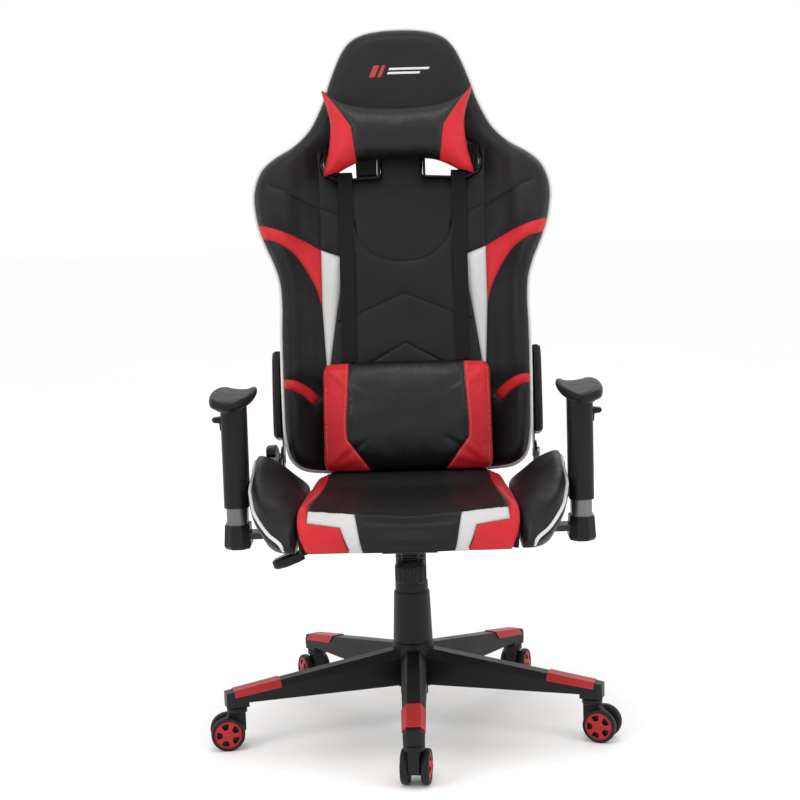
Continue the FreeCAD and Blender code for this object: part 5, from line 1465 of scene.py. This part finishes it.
# ------------------------------------------------------------------ casters
def wheel_mesh():
    """One wheel about the x axis, outer face to +x: tyre, red disc with five windows, hub cap. Millimetres."""
    S = Shape()
    n = 80
    a = np.linspace(0, 2 * np.pi, n, endpoint=False)
    tyre = [(-7.4, 8), (-7.6, 20), (-7.5, 26.5), (-6.4, 28.7), (-4.2, 29.8), (0, 30.0), (3.8, 29.7), (5.8, 28.6), (6.7, 26.6), (6.6, 25.0), (5.4, 24.2), (4.4, 24.0), (3.4, 23.6)]
    V = np.vstack([np.stack([np.full(n, x), r * np.cos(a), r * np.sin(a)], 1) for x, r in tyre])
    S.add(V, grid_faces(len(tyre), n, False, True), 0)
    # dark well behind the windows
    well = [(3.4, 23.6), (0.8, 22.5), (0.4, 8), (0.4, 3)]
    V = np.vstack([np.stack([np.full(n, x), r * np.cos(a), r * np.sin(a)], 1) for x, r in well])
    S.add(V, grid_faces(len(well), n, False, True), 0)
    V = np.vstack([np.stack([np.full(n, -7.4), r * np.cos(a), r * np.sin(a)], 1) for r in (8, 3)])
    S.add(V, grid_faces(2, n, False, True), 0)
    # red disc: a domed face with five windows, with thickness
    rr = np.array([3.0, 5.0, 6.6, 8.2, 10.4, 12.6, 15.0, 17.4, 19.4, 20.6, 21.9, 23.3, 24.3])
    dome = lambda r: 8.6 - 3.2 * (r / 24.3) ** 2.2
    k = 100
    th = np.linspace(0, 2 * np.pi, k, endpoint=False)

    def warp_th(t, r):
        return t
    front = np.array([[(dome(r) - (0.9 if i in (11,) else 0), r * math.cos(t), r * math.sin(t)) for t in th] for i, r in enumerate(rr)])
    back = front.copy()
    back[:, :, 0] -= 2.2

    def window(i, j):
        r = 0.5 * (rr[i] + rr[i + 1])
        t = (th[j] + math.pi / k) % (2 * math.pi / 5) - math.pi / 5
        if not (10.4 < r < 20.6):
            return False
        half = 0.40 if 12.6 < r < 19.4 else 0.30
        return abs(t) < half
    m = len(rr)
    idx = lambda s, i, j: s * m * k + i * k + (j % k)
    V = np.vstack([front.reshape(-1, 3), back.reshape(-1, 3)])
    F = []
    op = {(i, j): window(i, j) for i in range(m - 1) for j in range(k)}
    for (i, j), o in op.items():
        if o:
            continue
        F.append((idx(0, i, j), idx(0, i, j + 1), idx(0, i + 1, j + 1), idx(0, i + 1, j)))
        F.append((idx(1, i, j), idx(1, i + 1, j), idx(1, i + 1, j + 1), idx(1, i, j + 1)))
        if i == m - 2:
            F.append((idx(0, i + 1, j), idx(0, i + 1, j + 1), idx(1, i + 1, j + 1), idx(1, i + 1, j)))
        if i > 0 and op[(i - 1, j)]:
            F.append((idx(0, i, j), idx(0, i, j + 1), idx(1, i, j + 1), idx(1, i, j)))
        if i < m - 2 and op[(i + 1, j)]:
            F.append((idx(0, i + 1, j), idx(0, i + 1, j + 1), idx(1, i + 1, j + 1), idx(1, i + 1, j)))
        if op[(i, (j + 1) % k)]:
            F.append((idx(0, i, j + 1), idx(0, i + 1, j + 1), idx(1, i + 1, j + 1), idx(1, i, j + 1)))
        if op[(i, (j - 1) % k)]:
            F.append((idx(0, i, j), idx(0, i + 1, j), idx(1, i + 1, j), idx(1, i, j)))
    S.add(V, F, 1)
    # hub cap
    cap = [(8.5, 5.6), (9.6, 5.2), (10.1, 4.2), (10.3, 2.6), (10.35, 0.9)]
    n2 = 40
    a2 = np.linspace(0, 2 * np.pi, n2, endpoint=False)
    V = np.vstack([np.stack([np.full(n2, x), r * np.cos(a2), r * np.sin(a2)], 1) for x, r in cap] + [[[10.36, 0, 0]]])
    F = grid_faces(len(cap), n2, False, True) + [((len(cap) - 1) * n2 + i, (len(cap) - 1) * n2 + (i + 1) % n2, len(cap) * n2) for i in range(n2)]
    S.add(V, F, 1)
    return S


def casters():
    W = wheel_mesh()
    V0 = np.vstack(W.V)
    for i in range(1, 6):
        c = {}
        for s in "ab":
            lo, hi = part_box(f"caster_{i}_wheel_{s}")
            c[s] = np.array([(l + h) / 2 * 1000 for l, h in zip(lo, hi)])
        for s, o in (("a", "b"), ("b", "a")):
            ax = c[s] - c[o]
            ax[2] = 0
            ax /= np.linalg.norm(ax)
            mid = (c["a"] + c["b"]) / 2
            mid[2] = 30.0
            ctr = mid + ax * (10.1 + 7.6)
            zz = np.array([0, 0, 1.0])
            yy = np.cross(zz, ax)
            V = ctr + V0[:, :1] * ax + V0[:, 1:2] * yy + V0[:, 2:] * zz
            S = Shape()
            S.V, S.F, S.Mi, S.S, S.n = [V], W.F, W.Mi, [np.zeros(len(V))], len(V)
            ob = S.obj(f"caster_{i}_wheel_{s}_tyre_and_disc", ["tyre", "red_plastic"], merge=0.02, recalc=True, sharp=34)
            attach(ob, f"caster_{i}_roll_{s}")
            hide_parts(f"caster_{i}_wheel_{s}")


casters()


# ------------------------------------------------------------------ straps
def ribbon(path, normal, half, thick):
    """flat strap: path (n,3), normals (n,3), half width along x"""
    P, N = np.asarray(path, float), np.asarray(normal, float)
    n = len(P)
    prof = [(-1, 0.3), (-0.94, 0.5), (-0.5, 0.5), (0, 0.5), (0.5, 0.5), (0.94, 0.5), (1, 0.3), (1, -0.3), (0.94, -0.5), (0, -0.5), (-0.94, -0.5), (-1, -0.3)]
    V = []
    for p, q in zip(P, N):
        for a, b in prof:
            V.append(p + np.array([a * half, 0, 0]) + q * b * thick)
    F = grid_faces(n, len(prof), False, True)
    k = len(prof)
    F += [tuple(range(k))[::-1], tuple((n - 1) * k + i for i in range(k))]
    return np.array(V), F


def path_normals(wv):
    """in-plane normals (pointing forward at the start) of a (w, v) path"""
    T = np.gradient(wv, axis=0)
    T /= np.linalg.norm(T, axis=1)[:, None]
    return np.stack([-T[:, 1], T[:, 0]], 1)


def straps():
    S = Shape()
    for sx in (1, -1):
        # up the face of the backrest, then back over the lower lip of the opening
        wv = spline([(-37, 205), (-36.2, 260), (-35.8, 400), (-35.6, 500), (-36.2, 545), (-37.0, 558), (-35.5, 565.5), (-29, 568.0), (0, 567.0), (27, 566.5)], 6.0)
        nn = path_normals(wv)
        P = BK(np.full(len(wv), 108.0 * sx), wv[:, 0], wv[:, 1])
        N = np.stack([np.zeros(len(wv)), nn[:, 0] * C10 + nn[:, 1] * S10, -nn[:, 0] * S10 + nn[:, 1] * C10], 1)
        V, F = ribbon(P, N, 13.6, 1.5)
        S.add(V, F)
    ob = S.obj("lumbar_strap_webbing", ["web"], recalc=True, sharp=40)
    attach(ob, "back")
    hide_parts("lumbar_straps")
    # elastic loop of the head pillow, gathered where it goes back through the opening
    S = Shape()
    for sx, xc, hw in ((-1, 66.5, 22.0), (1, 133.0, 15.0), (-1, 133.0, 15.0)):
        wv = spline([(-52, 612), (-42, 604), (-36, 592), (-34, 578), (-31, 568), (-22, 563.5), (0, 563.5), (27, 565)], 3.0)
        nn = path_normals(wv)
        P = BK(np.full(len(wv), xc * sx), wv[:, 0], wv[:, 1])
        N = np.stack([np.zeros(len(wv)), nn[:, 0] * C10 + nn[:, 1] * S10, -nn[:, 0] * S10 + nn[:, 1] * C10], 1)
        rows = []
        a = np.linspace(-1, 1, 25)
        for s in (1, -1):
            for p, q, t in zip(P, N, np.linspace(0, 1, len(P))):
                wr = 1.1 * np.sin(a * 13 + 3 * t) * (1 - 0.3 * a * a)
                hh = hw * (1 - 0.10 * math.sin(math.pi * t))
                rows.append(p + np.stack([a * hh, np.zeros(25), np.zeros(25)], 1) + q * (wr + s * 0.7)[:, None])
        V = np.vstack(rows)
        n = len(P)
        top = grid_faces(n, 25)
        F = top + [tuple(n * 25 + i for i in f)[::-1] for f in top]
        for j in range(n - 1):
            for c in (0, 24):
                F.append((j * 25 + c, (j + 1) * 25 + c, n * 25 + (j + 1) * 25 + c, n * 25 + j * 25 + c))
        S.add(V, F)
    ob = S.obj("head_pillow_elastic", ["web"], recalc=True)
    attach(ob, "back")


straps()
